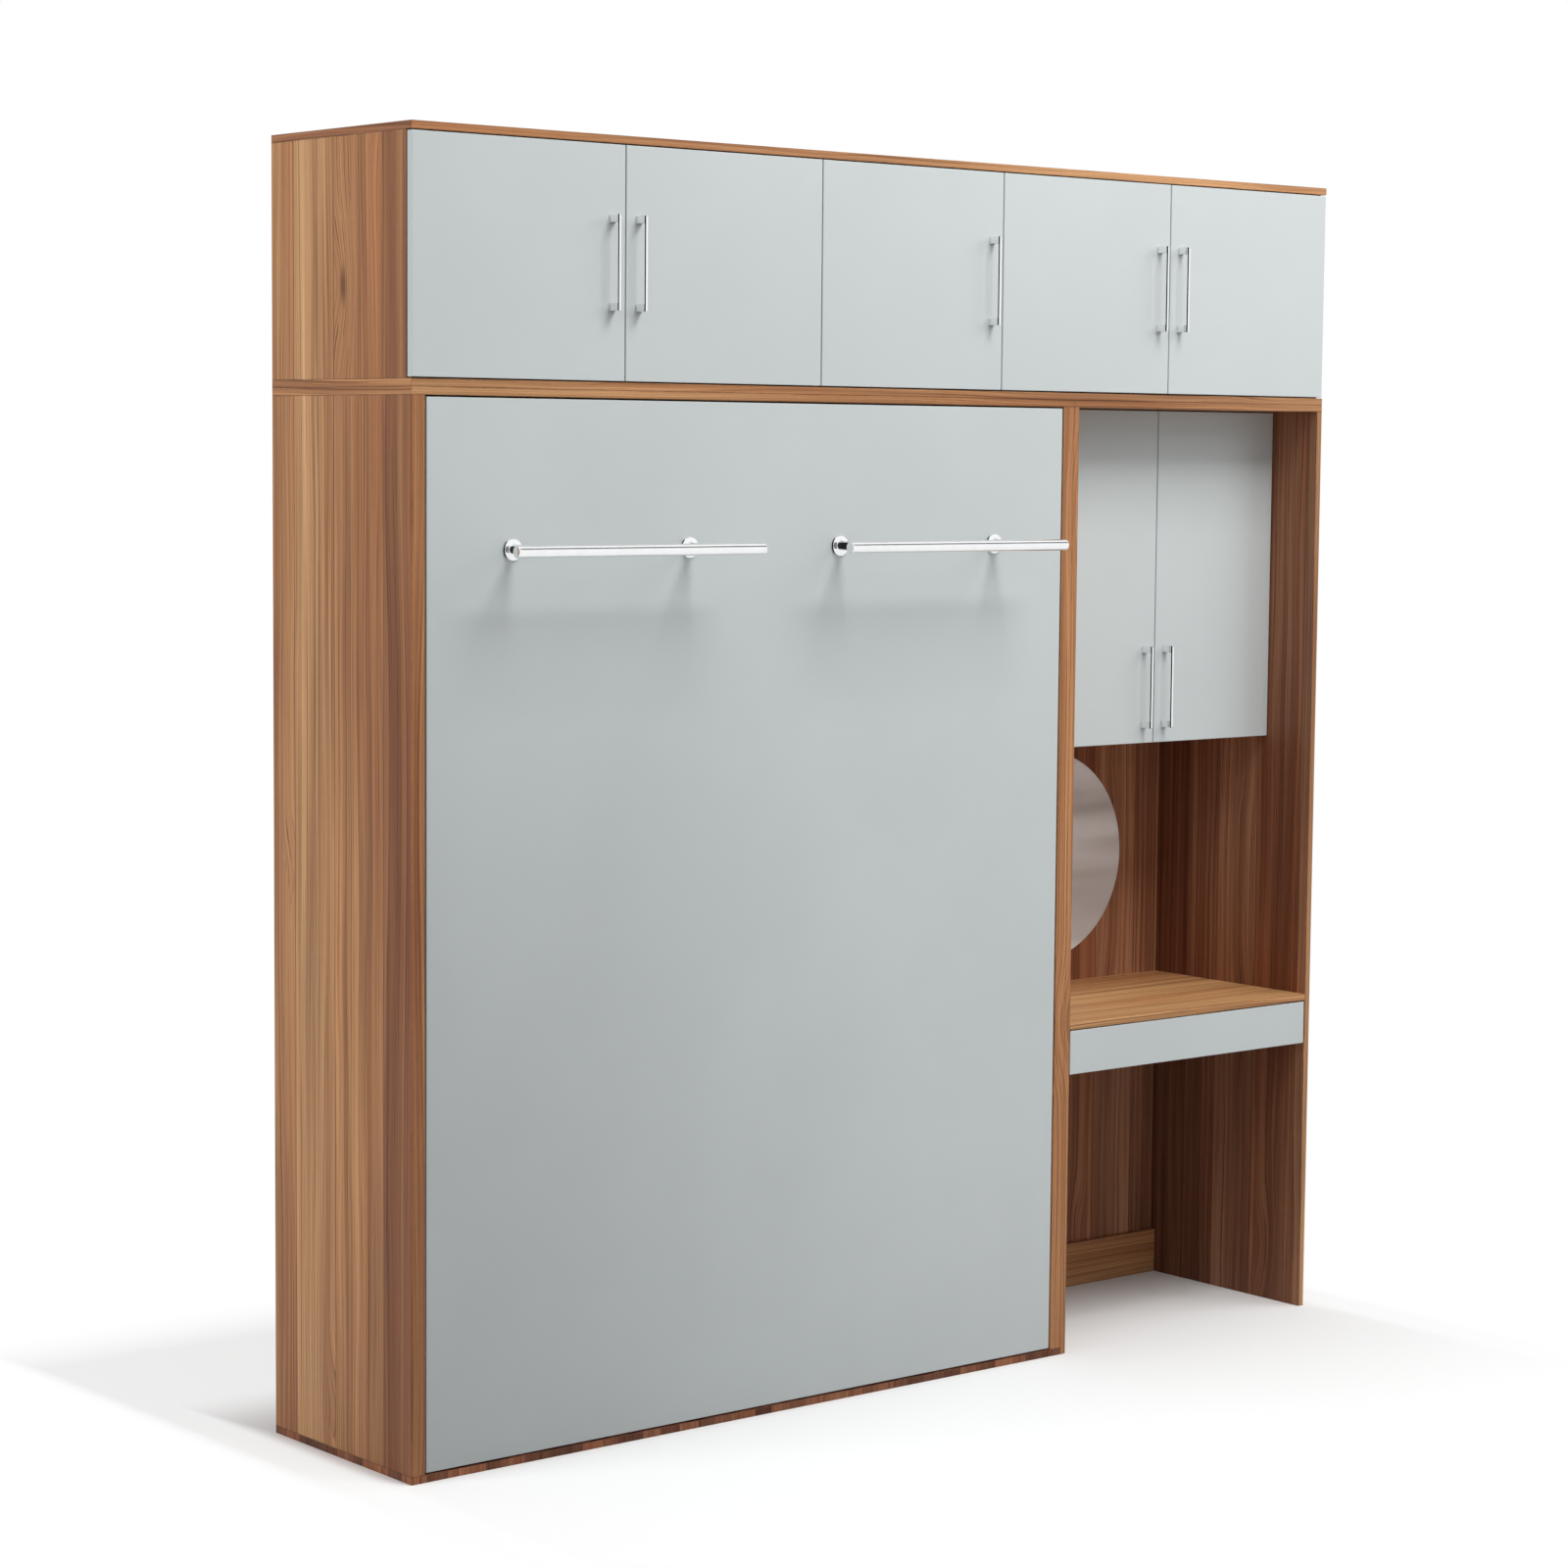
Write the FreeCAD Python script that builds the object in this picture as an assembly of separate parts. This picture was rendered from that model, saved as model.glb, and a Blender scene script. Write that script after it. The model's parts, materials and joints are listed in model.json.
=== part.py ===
import FreeCAD, Part
import math
import os

# Wall bed with a desk unit and a row of upper cupboards, in millimetres.
# The model is built in the cabinet's own directions: x to the right from the left side, y to the back from
# the front edges of the boards, z up from the floor. Solids are moved when they are written, so that the
# kept origin lies on the floor at the middle of the footprint.

V = FreeCAD.Vector

# Boards
BOARD = 16.0
BACK_BOARD = 3.5
DEPTH = 511.5
EDGE_EASE = 1.0

# Bed front panel and mattress
PANEL_GAP = 3.7
MATTRESS_WIDTH = 1600.0
MATTRESS_LENGTH = 2000.0
MATTRESS_THICKNESS = 190.0
MATTRESS_SIDE_GAP = 4.5
MATTRESS_END_GAP = 14.0
MATTRESS_REST_GAP = 0.5
MATTRESS_CROWN = 7.0
MATTRESS_HOLLOW = 3.0
MATTRESS_END_ROUND = 26.0
STRAP_WIDTH = 50.0
STRAP_THICKNESS = 2.5
STRAP_CLEARANCE = 0.3
STRAP_HEM = 35.0

# Bed frame
RAIL_WIDTH = 25.0
RAIL_DEPTH = 80.0
TUBE_WALL = 2.0
CROSS_RAIL = 30.0
OPEN_RAIL_COUNT = 4
CENTRE_RAIL_WIDTH = 40.0
CENTRE_RAIL_DEPTH = 10.0
FRAME_LIFT = 6.0
HEADROOM = 71.0
SLAT_COUNT = 14
SLAT_WIDTH = 68.0
SLAT_THICKNESS = 8.0
SLAT_BOW = 6.0
SLAT_FOOT = 2.0
HOLDER_WALL = 2.0
HOLDER_GRIP = 22.0
HOLDER_PLAY = 0.4

# Fold mechanism
PLATE = 4.0
STRUT_DIAMETER = 18.0
STRUT_CLEARANCE = 3.0
STRUT_WALL = 1.5
STRUT_HALF_ANGLE = 82.5
ROD_DIAMETER = 8.0
SLIDE_FIT = 0.05
STRUT_GUIDE = 10.0
PISTON_LENGTH = 6.0
EYE_DIAMETER = 16.0
EYE_WIDTH = 8.0
EYE_ROOM = 14.0
STUD_DIAMETER = 8.0
STUD_EDGE = 13.7
STUD_HEAD = 2.0
STUD_SHOULDER = 12.0
PIN_DIAMETER = 12.0
PIN_COLLAR = 16.0
PIN_EDGE = 12.0
PIN_FIT = 0.05
BUSH_WALL = 2.0
PIN_NUT = 18.0
PIN_NUT_HEIGHT = 6.0
PLATE_EDGE = 9.5
PLATE_REACH = 110.0
PLATE_HOLE = 5.0
STOP_REACH = 44.0
STOP_HEIGHT = 40.0
STOP_PAD = 12.0
STOP_GAP = 0.3
FLOOR_CLEARANCE = 1.0

# Chrome bars on the bed front
BAR_DIAMETER = 25.0
BAR_STANDOFF = 138.0
BAR_LENGTH = 624.0
BAR_POST_SPACING = 448.0
BAR_SPACING = 856.4
BAR_DROP = 304.5
POST_DIAMETER = 20.0
FLANGE_DIAMETER = 44.0
FLANGE_THICKNESS = 5.0
BAR_BOLT = 8.0
BAR_BOLT_PLAY = 0.5
BAR_WASHER = 24.0
BAR_WASHER_THICKNESS = 2.0
BAR_NUT = 13.0
BAR_NUT_HEIGHT = 7.0

# Desk unit
DESK_UNIT_WIDTH = 819.0
DESK_HEIGHT = 768.5
DRAWER_FRONT_HEIGHT = 101.0
DRAWER_BOX_HEIGHT = 76.0
DRAWER_BOX_DEPTH = 440.0
DRAWER_BOARD = 12.0
DRAWER_FLOOR = 5.0
DRAWER_FLOOR_RISE = 8.0
DRAWER_DROP = 14.0
RUNNER_SPACE = 12.7
RUNNER_HEIGHT = 45.0
RUNNER_LENGTH = 400.0
RUNNER_WALL = 1.2
RUNNER_PLAY = 0.5
RUNNER_OVERLAP = 5.0
DESK_BACK_RAIL = 108.0
WALL_CABINET_HEIGHT = 784.0
WALL_CABINET_SETBACK = 140.0
SHELF_SETBACK = 20.0
SHELF_PLAY = 1.0
SHELF_PIN = 5.0
SHELF_PIN_DEPTH = 8.0
SHELF_PIN_REACH = 9.0
SHELF_PIN_INSET = 40.0
MIRROR_MARGIN = 53.75
MIRROR_RISE = 5.0
MIRROR_THICKNESS = 4.0

# Upper unit, with the edge that each door hangs on, from the left
UPPER_HEIGHT = 513.0
DOOR_HANGS = ("left", "right", "left", "left", "right")
DOOR_GAP = 2.5
DOOR_BACK_GAP = 2.0

# Bow handles
HANDLE_HEIGHT = 194.0
HANDLE_DEPTH = 34.0
HANDLE_GRIP = 5.0
HANDLE_FOOT = 16.0
HANDLE_CORNER = 3.0
HANDLE_EDGE = 32.5
WALL_HANDLE_RISE = 36.0

# Concealed hinges
CUP_DIAMETER = 35.0
CUP_DEPTH = 11.5
CUP_WALL = 1.2
CUP_INSET = 22.5
CUP_FLANGE = 1.2
CUP_FLANGE_LENGTH = 60.0
CUP_FLANGE_WIDTH = 22.0
HINGE_INSET = 90.0
ARM_GAP = 0.3
ARM_LENGTH = 62.0
ARM_HEIGHT = 16.0
ARM_THICKNESS = 12.0
ARM_WALL = 1.5
ARM_PLATE = 2.5
ARM_PLATE_LENGTH = 50.0
ARM_PLATE_DEPTH = 32.0

# Rails at the back, with the holes for the wall fixings
BACK_RAIL_HEIGHT = 100.0
WALL_HOLE = 8.0
WALL_HOLE_SPACING = 1200.0

OVERRUN = 5.0

# Small fasteners and their holes have this many sides in place of a circle
SMALL_ROUND_COUNT = 12
CUP_ROUND_COUNT = 16

# Places that follow from the sizes above, bed cabinet first
BED_SIDE = 2 * BOARD
MECHANISM_SPACE = 2 * PLATE + STRUT_DIAMETER + 2 * STRUT_CLEARANCE
RAIL_X = BED_SIDE + MECHANISM_SPACE
MATTRESS_X = RAIL_X + RAIL_WIDTH + MATTRESS_SIDE_GAP
BED_CABINET_WIDTH = MATTRESS_WIDTH + 2 * MATTRESS_X
BED_MIDDLE = BED_CABINET_WIDTH / 2
FRAME_Z0 = BOARD + FRAME_LIFT
FRAME_LENGTH = MATTRESS_LENGTH + 2 * (MATTRESS_END_GAP + RAIL_WIDTH)
FRAME_Z1 = FRAME_Z0 + FRAME_LENGTH
LOWER_HEIGHT = FRAME_Z1 + HEADROOM + BOARD
LOWER_TOP = LOWER_HEIGHT - BOARD
CROSS_BACK = BOARD + CROSS_RAIL
CENTRE_BACK = CROSS_BACK + CENTRE_RAIL_DEPTH
SLAT_Y = CENTRE_BACK + SLAT_FOOT
MATTRESS_Y = SLAT_Y + SLAT_THICKNESS + SLAT_BOW + MATTRESS_REST_GAP
RAIL_BACK = BOARD + RAIL_DEPTH
HEIGHT = LOWER_HEIGHT + UPPER_HEIGHT
WIDTH = BED_CABINET_WIDTH + DESK_UNIT_WIDTH
BACK_FACE = DEPTH - BACK_BOARD

# The bars reach the floor when the bed is down, so their reach sets the height of the pivot
BAR_HEIGHT = LOWER_TOP - BAR_DROP
BAR_REACH = BAR_STANDOFF + BAR_DIAMETER / 2
PIVOT_Y = BOARD + PIN_EDGE
PIVOT_Z = BAR_REACH + PIVOT_Y + FLOOR_CLEARANCE

# Both strut studs lie at the same distance from the pivot, so the strut turns at half the bed's rate
ROD_STUD_Z = FRAME_Z0 + STUD_EDGE
STRUT_RADIUS = (PIVOT_Z - ROD_STUD_Z) / math.sin(math.radians(STRUT_HALF_ANGLE))
STRUT_Y = PIVOT_Y + STRUT_RADIUS * math.cos(math.radians(STRUT_HALF_ANGLE))
CYLINDER_STUD_Z = 2 * PIVOT_Z - ROD_STUD_Z
STRUT_LONG = CYLINDER_STUD_Z - ROD_STUD_Z
STRUT_SHORT = 2 * STRUT_RADIUS * math.sin(math.radians(STRUT_HALF_ANGLE) - math.pi / 4)
CYLINDER_LENGTH = STRUT_SHORT - EYE_ROOM
ROD_LENGTH = STRUT_LONG - CYLINDER_LENGTH + STRUT_GUIDE + PISTON_LENGTH
STRUT_X = BED_SIDE + PLATE + STRUT_CLEARANCE + STRUT_DIAMETER / 2

# Desk unit and upper unit
DESK_X0 = BED_CABINET_WIDTH + BOARD
DESK_X1 = WIDTH - BOARD
DESK_MIDDLE = (DESK_X0 + DESK_X1) / 2
DESK_UNDER = DESK_HEIGHT - BOARD
DRAWER_TOP = DESK_UNDER - DOOR_GAP
DRAWER_BOTTOM = DRAWER_TOP - DRAWER_FRONT_HEIGHT
WALL_CABINET_Z = LOWER_TOP - WALL_CABINET_HEIGHT
WALL_DOOR_BACK = WALL_CABINET_SETBACK + BOARD
UPPER_FLOOR = LOWER_HEIGHT + BOARD
UPPER_CEILING = HEIGHT - BOARD
DOOR_PITCH = WIDTH / len(DOOR_HANGS)
UPRIGHT_Y = BOARD + DOOR_BACK_GAP

ORIGIN = V(-WIDTH / 2, (BAR_REACH - DEPTH) / 2, 0)


def box(x0, x1, y0, y1, z0, z1):
    return Part.makeBox(x1 - x0, y1 - y0, z1 - z0, V(x0, y0, z0))


def rod_x(x0, x1, y, z, radius):
    return Part.makeCylinder(radius, x1 - x0, V(x0, y, z), V(1, 0, 0))


def rod_y(x, y0, y1, z, radius):
    return Part.makeCylinder(radius, y1 - y0, V(x, y0, z), V(0, 1, 0))


def rod_z(x, y, z0, z1, radius):
    return Part.makeCylinder(radius, z1 - z0, V(x, y, z0), V(0, 0, 1))


def polygon(centre, radius, count, first, second):
    """A face with count corners about the centre, in the plane of two unit vectors."""
    turns = [2 * math.pi * k / count for k in range(count)]
    points = [centre + first * (radius * math.cos(t)) + second * (radius * math.sin(t)) for t in turns]
    return Part.Face(Part.makePolygon(points + points[:1]))


def prism_x(x0, x1, y, z, radius, count=SMALL_ROUND_COUNT):
    return polygon(V(x0, y, z), radius, count, V(0, 1, 0), V(0, 0, 1)).extrude(V(x1 - x0, 0, 0))


def prism_y(x, y0, y1, z, radius, count=SMALL_ROUND_COUNT):
    return polygon(V(x, y0, z), radius, count, V(0, 0, 1), V(1, 0, 0)).extrude(V(0, y1 - y0, 0))


def fuse(first, *others):
    return first.fuse(list(others)).removeSplitter()


def cut(first, *others):
    return first.cut(list(others))


def hexagon_radius(across_flats):
    return across_flats / math.sqrt(3)


def open_rail(x0, x1, z):
    """A cross rail of U section along x, with its web on the front panel and its mouth to the mattress."""
    z0, z1 = z - CROSS_RAIL / 2, z + CROSS_RAIL / 2
    hollow = box(x0, x1, BOARD + TUBE_WALL, CROSS_BACK + OVERRUN, z0 + TUBE_WALL, z1 - TUBE_WALL)
    return cut(box(x0, x1, BOARD, CROSS_BACK, z0, z1), hollow)


def tube(x0, x1, y0, y1, z0, z1, along):
    """A rectangular tube, open at both ends of the direction named in along."""
    inner = {
        "x": (x0, x1, y0 + TUBE_WALL, y1 - TUBE_WALL, z0 + TUBE_WALL, z1 - TUBE_WALL),
        "z": (x0 + TUBE_WALL, x1 - TUBE_WALL, y0 + TUBE_WALL, y1 - TUBE_WALL, z0, z1),
    }[along]
    return cut(box(x0, x1, y0, y1, z0, z1), box(*inner))


def pair(shape):
    """The shape and its mirror image on the other side of the bed."""
    return [shape, shape.mirror(V(BED_MIDDLE, 0, 0), V(1, 0, 0))]


def write(node, *solids):
    """Moves the solids to the kept origin and writes them as one node."""
    shape = solids[0] if len(solids) == 1 else Part.makeCompound(list(solids))
    moved = shape.copy()
    moved.translate(ORIGIN)
    moved.exportStep("parts/" + node + ".step")


def eased_front(x0, x1, y, z0, z1):
    """A board that stands upright, with the edges of its front face eased."""
    board = box(x0, x1, y, y + BOARD, z0, z1)
    front = [edge for edge in board.Edges if edge.BoundBox.YMax < y + EDGE_EASE]
    return board.makeChamfer(EDGE_EASE, front)


# Bed cabinet

def wall_holes():
    """Clearance holes for the wall fixings through the top back rail and the thin back."""
    z = LOWER_TOP - BACK_RAIL_HEIGHT / 2
    shift = WALL_HOLE_SPACING / 2
    y0 = BACK_FACE - BOARD - OVERRUN
    return [rod_y(BED_MIDDLE + s * shift, y0, DEPTH + OVERRUN, z, WALL_HOLE / 2) for s in (-1, 1)]


def bed_cabinet():
    x0, x1 = BED_SIDE, BED_CABINET_WIDTH - BED_SIDE
    write("base_board", box(0, BED_CABINET_WIDTH, 0, DEPTH, 0, BOARD))
    write("bed_side_panel_left", box(0, x0, 0, DEPTH, BOARD, LOWER_TOP))
    write("bed_side_panel_right", box(x1, BED_CABINET_WIDTH, 0, DEPTH, BOARD, LOWER_TOP))
    write("bed_top_board", box(0, BED_CABINET_WIDTH, 0, DEPTH, LOWER_TOP, LOWER_HEIGHT))
    write("bed_back_panel", cut(box(x0, x1, BACK_FACE, DEPTH, BOARD, LOWER_TOP), *wall_holes()))


def rear_rails():
    """Rails between the sides, in front of the thin backs, and the rail that closes the desk's foot."""
    x0, x1 = BED_SIDE, BED_CABINET_WIDTH - BED_SIDE
    middle = (BOARD + LOWER_TOP) / 2
    lows = [BOARD, middle - BACK_RAIL_HEIGHT / 2, LOWER_TOP - BACK_RAIL_HEIGHT]
    rails = [box(x0, x1, BACK_FACE - BOARD, BACK_FACE, z, z + BACK_RAIL_HEIGHT) for z in lows]
    rails[-1] = cut(rails[-1], *wall_holes())
    rails.append(box(DESK_X0, DESK_X1, DEPTH - BOARD, DEPTH, 0, DESK_BACK_RAIL))
    write("rear_rails", *rails)


# Fold mechanism, drawn on the left and mirrored

def cabinet_plate():
    """Bracket on the cabinet side, kept behind and above the space that the front panel sweeps."""
    y0, z0 = PIVOT_Y - PLATE_EDGE, PIVOT_Z - PLATE_EDGE
    z1 = CYLINDER_STUD_Z + EYE_ROOM
    x0, x1 = BED_SIDE, BED_SIDE + PLATE
    plate = box(x0, x1, y0, y0 + PLATE_REACH, z0, z1)
    near_pivot = [e for e in plate.Edges if e.BoundBox.YMax + e.BoundBox.ZMax < y0 + z0 + SLIDE_FIT]
    plate = plate.makeFillet(PLATE_EDGE - SLIDE_FIT, near_pivot)
    places = [(y0 + PLATE_REACH - EYE_ROOM, z) for z in (z0 + EYE_ROOM, z1 - EYE_ROOM)]
    places += [(y0 + PLATE_REACH - 3 * EYE_ROOM, z) for z in (z0 + EYE_ROOM, z1 - EYE_ROOM)]
    holes = [prism_x(x0 - OVERRUN, x1 + OVERRUN, y, z, PLATE_HOLE / 2) for y, z in places]
    stud_x1 = STRUT_X + EYE_WIDTH / 2 + STUD_HEAD
    stud = rod_x(x0, stud_x1, STRUT_Y, CYLINDER_STUD_Z, STUD_DIAMETER / 2)
    eye_x = STRUT_X - EYE_WIDTH / 2 - SLIDE_FIT
    shoulder = prism_x(x1, eye_x, STRUT_Y, CYLINDER_STUD_Z, STUD_SHOULDER / 2)
    return fuse(cut(plate, *holes), stud, shoulder)


def pivot_pin():
    """Pin welded on the cabinet bracket, with a collar that spaces the bed and a lock nut inside the rail."""
    x0 = BED_SIDE + PLATE
    collar_end = RAIL_X - PLATE - SLIDE_FIT
    nut_x = RAIL_X + RAIL_WIDTH + SLIDE_FIT
    pin = rod_x(x0, nut_x + PIN_NUT_HEIGHT, PIVOT_Y, PIVOT_Z, PIN_DIAMETER / 2)
    collar = prism_x(x0, collar_end, PIVOT_Y, PIVOT_Z, PIN_COLLAR / 2)
    nut = prism_x(nut_x, nut_x + PIN_NUT_HEIGHT, PIVOT_Y, PIVOT_Z, hexagon_radius(PIN_NUT), 6)
    return fuse(pin, collar, nut)


def bed_plate():
    """Plate welded on the bed's side rail, with the bush for the pin and the stud for the strut's rod."""
    x0, x1 = RAIL_X - PLATE, RAIL_X
    y0 = BOARD
    z0 = FRAME_Z0
    z1 = PIVOT_Z + 4 * PIN_EDGE
    plate = box(x0, x1, y0, RAIL_BACK, z0, z1)
    bush = rod_x(x1 - PLATE, x1 + RAIL_WIDTH, PIVOT_Y, PIVOT_Z, PIN_DIAMETER / 2 + BUSH_WALL)
    bore = rod_x(x0 - OVERRUN, x1 + RAIL_WIDTH + OVERRUN, PIVOT_Y, PIVOT_Z, PIN_DIAMETER / 2 + PIN_FIT)
    stud_x0 = STRUT_X - EYE_WIDTH / 2 - STUD_HEAD
    stud = rod_x(stud_x0, x1, STRUT_Y, ROD_STUD_Z, STUD_DIAMETER / 2)
    eye_x = STRUT_X + EYE_WIDTH / 2 + SLIDE_FIT
    shoulder = prism_x(eye_x, x0, STRUT_Y, ROD_STUD_Z, STUD_SHOULDER / 2)
    return cut(fuse(plate, bush, stud, shoulder), bore)


def eye(z):
    """End fitting of the strut: a ring around the stud."""
    x0, x1 = STRUT_X - EYE_WIDTH / 2, STRUT_X + EYE_WIDTH / 2
    ring = rod_x(x0, x1, STRUT_Y, z, EYE_DIAMETER / 2)
    hole = rod_x(x0 - OVERRUN, x1 + OVERRUN, STRUT_Y, z, STUD_DIAMETER / 2 + SLIDE_FIT)
    return ring, hole


def strut_cylinder():
    ring, hole = eye(CYLINDER_STUD_Z)
    z0, z1 = CYLINDER_STUD_Z - CYLINDER_LENGTH, CYLINDER_STUD_Z - EYE_ROOM
    body = rod_z(STRUT_X, STRUT_Y, z0, z1, STRUT_DIAMETER / 2)
    half = EYE_WIDTH / 2
    neck = box(STRUT_X - half, STRUT_X + half, STRUT_Y - half, STRUT_Y + half, z1, CYLINDER_STUD_Z)
    bore = rod_z(STRUT_X, STRUT_Y, z0 + STRUT_GUIDE, z1 - STRUT_WALL, STRUT_DIAMETER / 2 - STRUT_WALL)
    guide = rod_z(STRUT_X, STRUT_Y, z0 - OVERRUN, z0 + STRUT_GUIDE + OVERRUN, ROD_DIAMETER / 2 + SLIDE_FIT)
    return cut(fuse(body, neck, ring), hole, bore, guide)


def strut_rod():
    ring, hole = eye(ROD_STUD_Z)
    z1 = ROD_STUD_Z + ROD_LENGTH
    rod = rod_z(STRUT_X, STRUT_Y, ROD_STUD_Z, z1, ROD_DIAMETER / 2)
    piston_radius = STRUT_DIAMETER / 2 - STRUT_WALL - SLIDE_FIT
    piston = rod_z(STRUT_X, STRUT_Y, z1 - PISTON_LENGTH, z1, piston_radius)
    return cut(fuse(rod, ring, piston), hole)


def closing_stop():
    """Angle on the cabinet side with a rubber face that the bed's rail leans on when it is up."""
    y0 = RAIL_BACK + STOP_GAP
    z1 = FRAME_Z1 - RAIL_WIDTH
    z0 = z1 - STOP_HEIGHT
    x0, x1 = BED_SIDE, BED_SIDE + STOP_REACH
    pad = box(x0 + PLATE, x1, y0, y0 + STOP_PAD, z0, z1)
    wing = box(x0, x1, y0 + STOP_PAD, y0 + STOP_PAD + PLATE, z0, z1)
    foot = box(x0, x0 + PLATE, y0 + STOP_PAD + PLATE, y0 + STOP_PAD + STOP_REACH, z0, z1)
    return fuse(pad, wing, foot)


def fold_mechanism():
    write("pivot_brackets", *pair(cabinet_plate()))
    write("pivot_pins", *pair(pivot_pin()))
    write("bed_pivot_plates", *pair(bed_plate()))
    write("strut_cylinders", *pair(strut_cylinder()))
    write("strut_rods", *pair(strut_rod()))
    write("closing_stops", *pair(closing_stop()))


# Bed

def bar_post_places():
    """Where the four posts of the two bars stand, left to right."""
    centres = [BED_MIDDLE + s * BAR_SPACING / 2 for s in (-1, 1)]
    return [c + s * BAR_POST_SPACING / 2 for c in centres for s in (-1, 1)]


def bolt_holes(y0, y1):
    radius = BAR_BOLT / 2 + BAR_BOLT_PLAY
    return [prism_y(x, y0 - OVERRUN, y1 + OVERRUN, BAR_HEIGHT, radius) for x in bar_post_places()]


def bed_front_panel():
    x0, x1 = BED_SIDE + PANEL_GAP, BED_CABINET_WIDTH - BED_SIDE - PANEL_GAP
    panel = eased_front(x0, x1, 0, BOARD + PANEL_GAP, LOWER_TOP - PANEL_GAP)
    write("bed_front_panel", cut(panel, *bolt_holes(0, BOARD)))


def bed_side_rails():
    rail = tube(RAIL_X, RAIL_X + RAIL_WIDTH, BOARD, RAIL_BACK, FRAME_Z0, FRAME_Z1, "z")
    corner = (PIN_DIAMETER / 2 + BUSH_WALL) / math.cos(math.pi / SMALL_ROUND_COUNT)
    seat = prism_x(RAIL_X - OVERRUN, RAIL_X + RAIL_WIDTH + OVERRUN, PIVOT_Y, PIVOT_Z, corner)
    write("bed_side_rails", *pair(cut(rail, seat)))


def bed_cross_rails():
    """Head and foot rails, open rails behind the panel and the rail that carries the slats' inner ends."""
    x0, x1 = RAIL_X + RAIL_WIDTH, BED_CABINET_WIDTH - RAIL_X - RAIL_WIDTH
    head_top, foot_bottom = FRAME_Z0 + RAIL_WIDTH, FRAME_Z1 - RAIL_WIDTH
    rails = [tube(x0, x1, BOARD, RAIL_BACK, FRAME_Z0, head_top, "x")]
    rails.append(tube(x0, x1, BOARD, RAIL_BACK, foot_bottom, FRAME_Z1, "x"))
    for k in range(1, OPEN_RAIL_COUNT):
        rails.append(open_rail(x0, x1, head_top + (BAR_HEIGHT - head_top) * k / OPEN_RAIL_COUNT))
    rails.append(cut(open_rail(x0, x1, BAR_HEIGHT), *bolt_holes(BOARD, BOARD)))
    x0, x1 = BED_MIDDLE - CENTRE_RAIL_WIDTH / 2, BED_MIDDLE + CENTRE_RAIL_WIDTH / 2
    rails.append(tube(x0, x1, CROSS_BACK, CENTRE_BACK, head_top, foot_bottom, "z"))
    write("bed_cross_rails", *rails)


def slat_places():
    """Heights of the middles of the slats, evenly spaced over the mattress."""
    z0 = FRAME_Z0 + RAIL_WIDTH + SLAT_WIDTH
    z1 = FRAME_Z1 - RAIL_WIDTH - SLAT_WIDTH
    return [z0 + (z1 - z0) * k / (SLAT_COUNT - 1) for k in range(SLAT_COUNT)]


def slat_ends():
    """The stretches between the rails that the two rows of slats span."""
    x0 = RAIL_X + RAIL_WIDTH + HOLDER_WALL + HOLDER_PLAY
    x1 = BED_MIDDLE - HOLDER_WALL / 2 - HOLDER_PLAY
    return [(x0, x1), (2 * BED_MIDDLE - x1, 2 * BED_MIDDLE - x0)]


def slat(x0, x1, z):
    """A sprung slat, bowed towards the mattress."""
    middle = (x0 + x1) / 2
    rear = SLAT_Y + SLAT_THICKNESS
    low = Part.Arc(V(x0, SLAT_Y, 0), V(middle, SLAT_Y + SLAT_BOW, 0), V(x1, SLAT_Y, 0)).toShape()
    high = Part.Arc(V(x1, rear, 0), V(middle, rear + SLAT_BOW, 0), V(x0, rear, 0)).toShape()
    right = Part.makeLine(V(x1, SLAT_Y, 0), V(x1, rear, 0))
    left = Part.makeLine(V(x0, rear, 0), V(x0, SLAT_Y, 0))
    blank = Part.Face(Part.Wire([low, right, high, left])).extrude(V(0, 0, SLAT_WIDTH))
    blank.translate(V(0, 0, z - SLAT_WIDTH / 2))
    return blank


def holder_shell(x0, x1, z, floor_y):
    """Plastic sleeve from the face that it sits on to just past the slat's rear."""
    half = SLAT_WIDTH / 2 + HOLDER_PLAY + HOLDER_WALL
    return box(x0, x1, floor_y, SLAT_Y + SLAT_THICKNESS + SLAT_BOW, z - half, z + half)


def slat_pocket(x0, x1, z):
    half = SLAT_WIDTH / 2 + HOLDER_PLAY
    rear = SLAT_Y + SLAT_THICKNESS + SLAT_BOW - HOLDER_WALL
    return box(x0, x1, SLAT_Y - HOLDER_PLAY, rear, z - half, z + half)


def slat_holders():
    """End caps on the side rails and double sleeves on the centre rail."""
    holders = []
    left, right = slat_ends()
    for z in slat_places():
        cap = holder_shell(RAIL_X + RAIL_WIDTH, left[0] + HOLDER_GRIP, z, CENTRE_BACK)
        cap = cut(cap, slat_pocket(left[0] - HOLDER_PLAY, left[0] + HOLDER_GRIP + OVERRUN, z))
        holders.extend(pair(cap))
        sleeve = holder_shell(left[1] - HOLDER_GRIP, right[0] + HOLDER_GRIP, z, CENTRE_BACK)
        pockets = [slat_pocket(left[1] - HOLDER_GRIP - OVERRUN, left[1] + HOLDER_PLAY, z)]
        pockets.append(slat_pocket(right[0] - HOLDER_PLAY, right[0] + HOLDER_GRIP + OVERRUN, z))
        holders.append(cut(sleeve, *pockets))
    return holders


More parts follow.
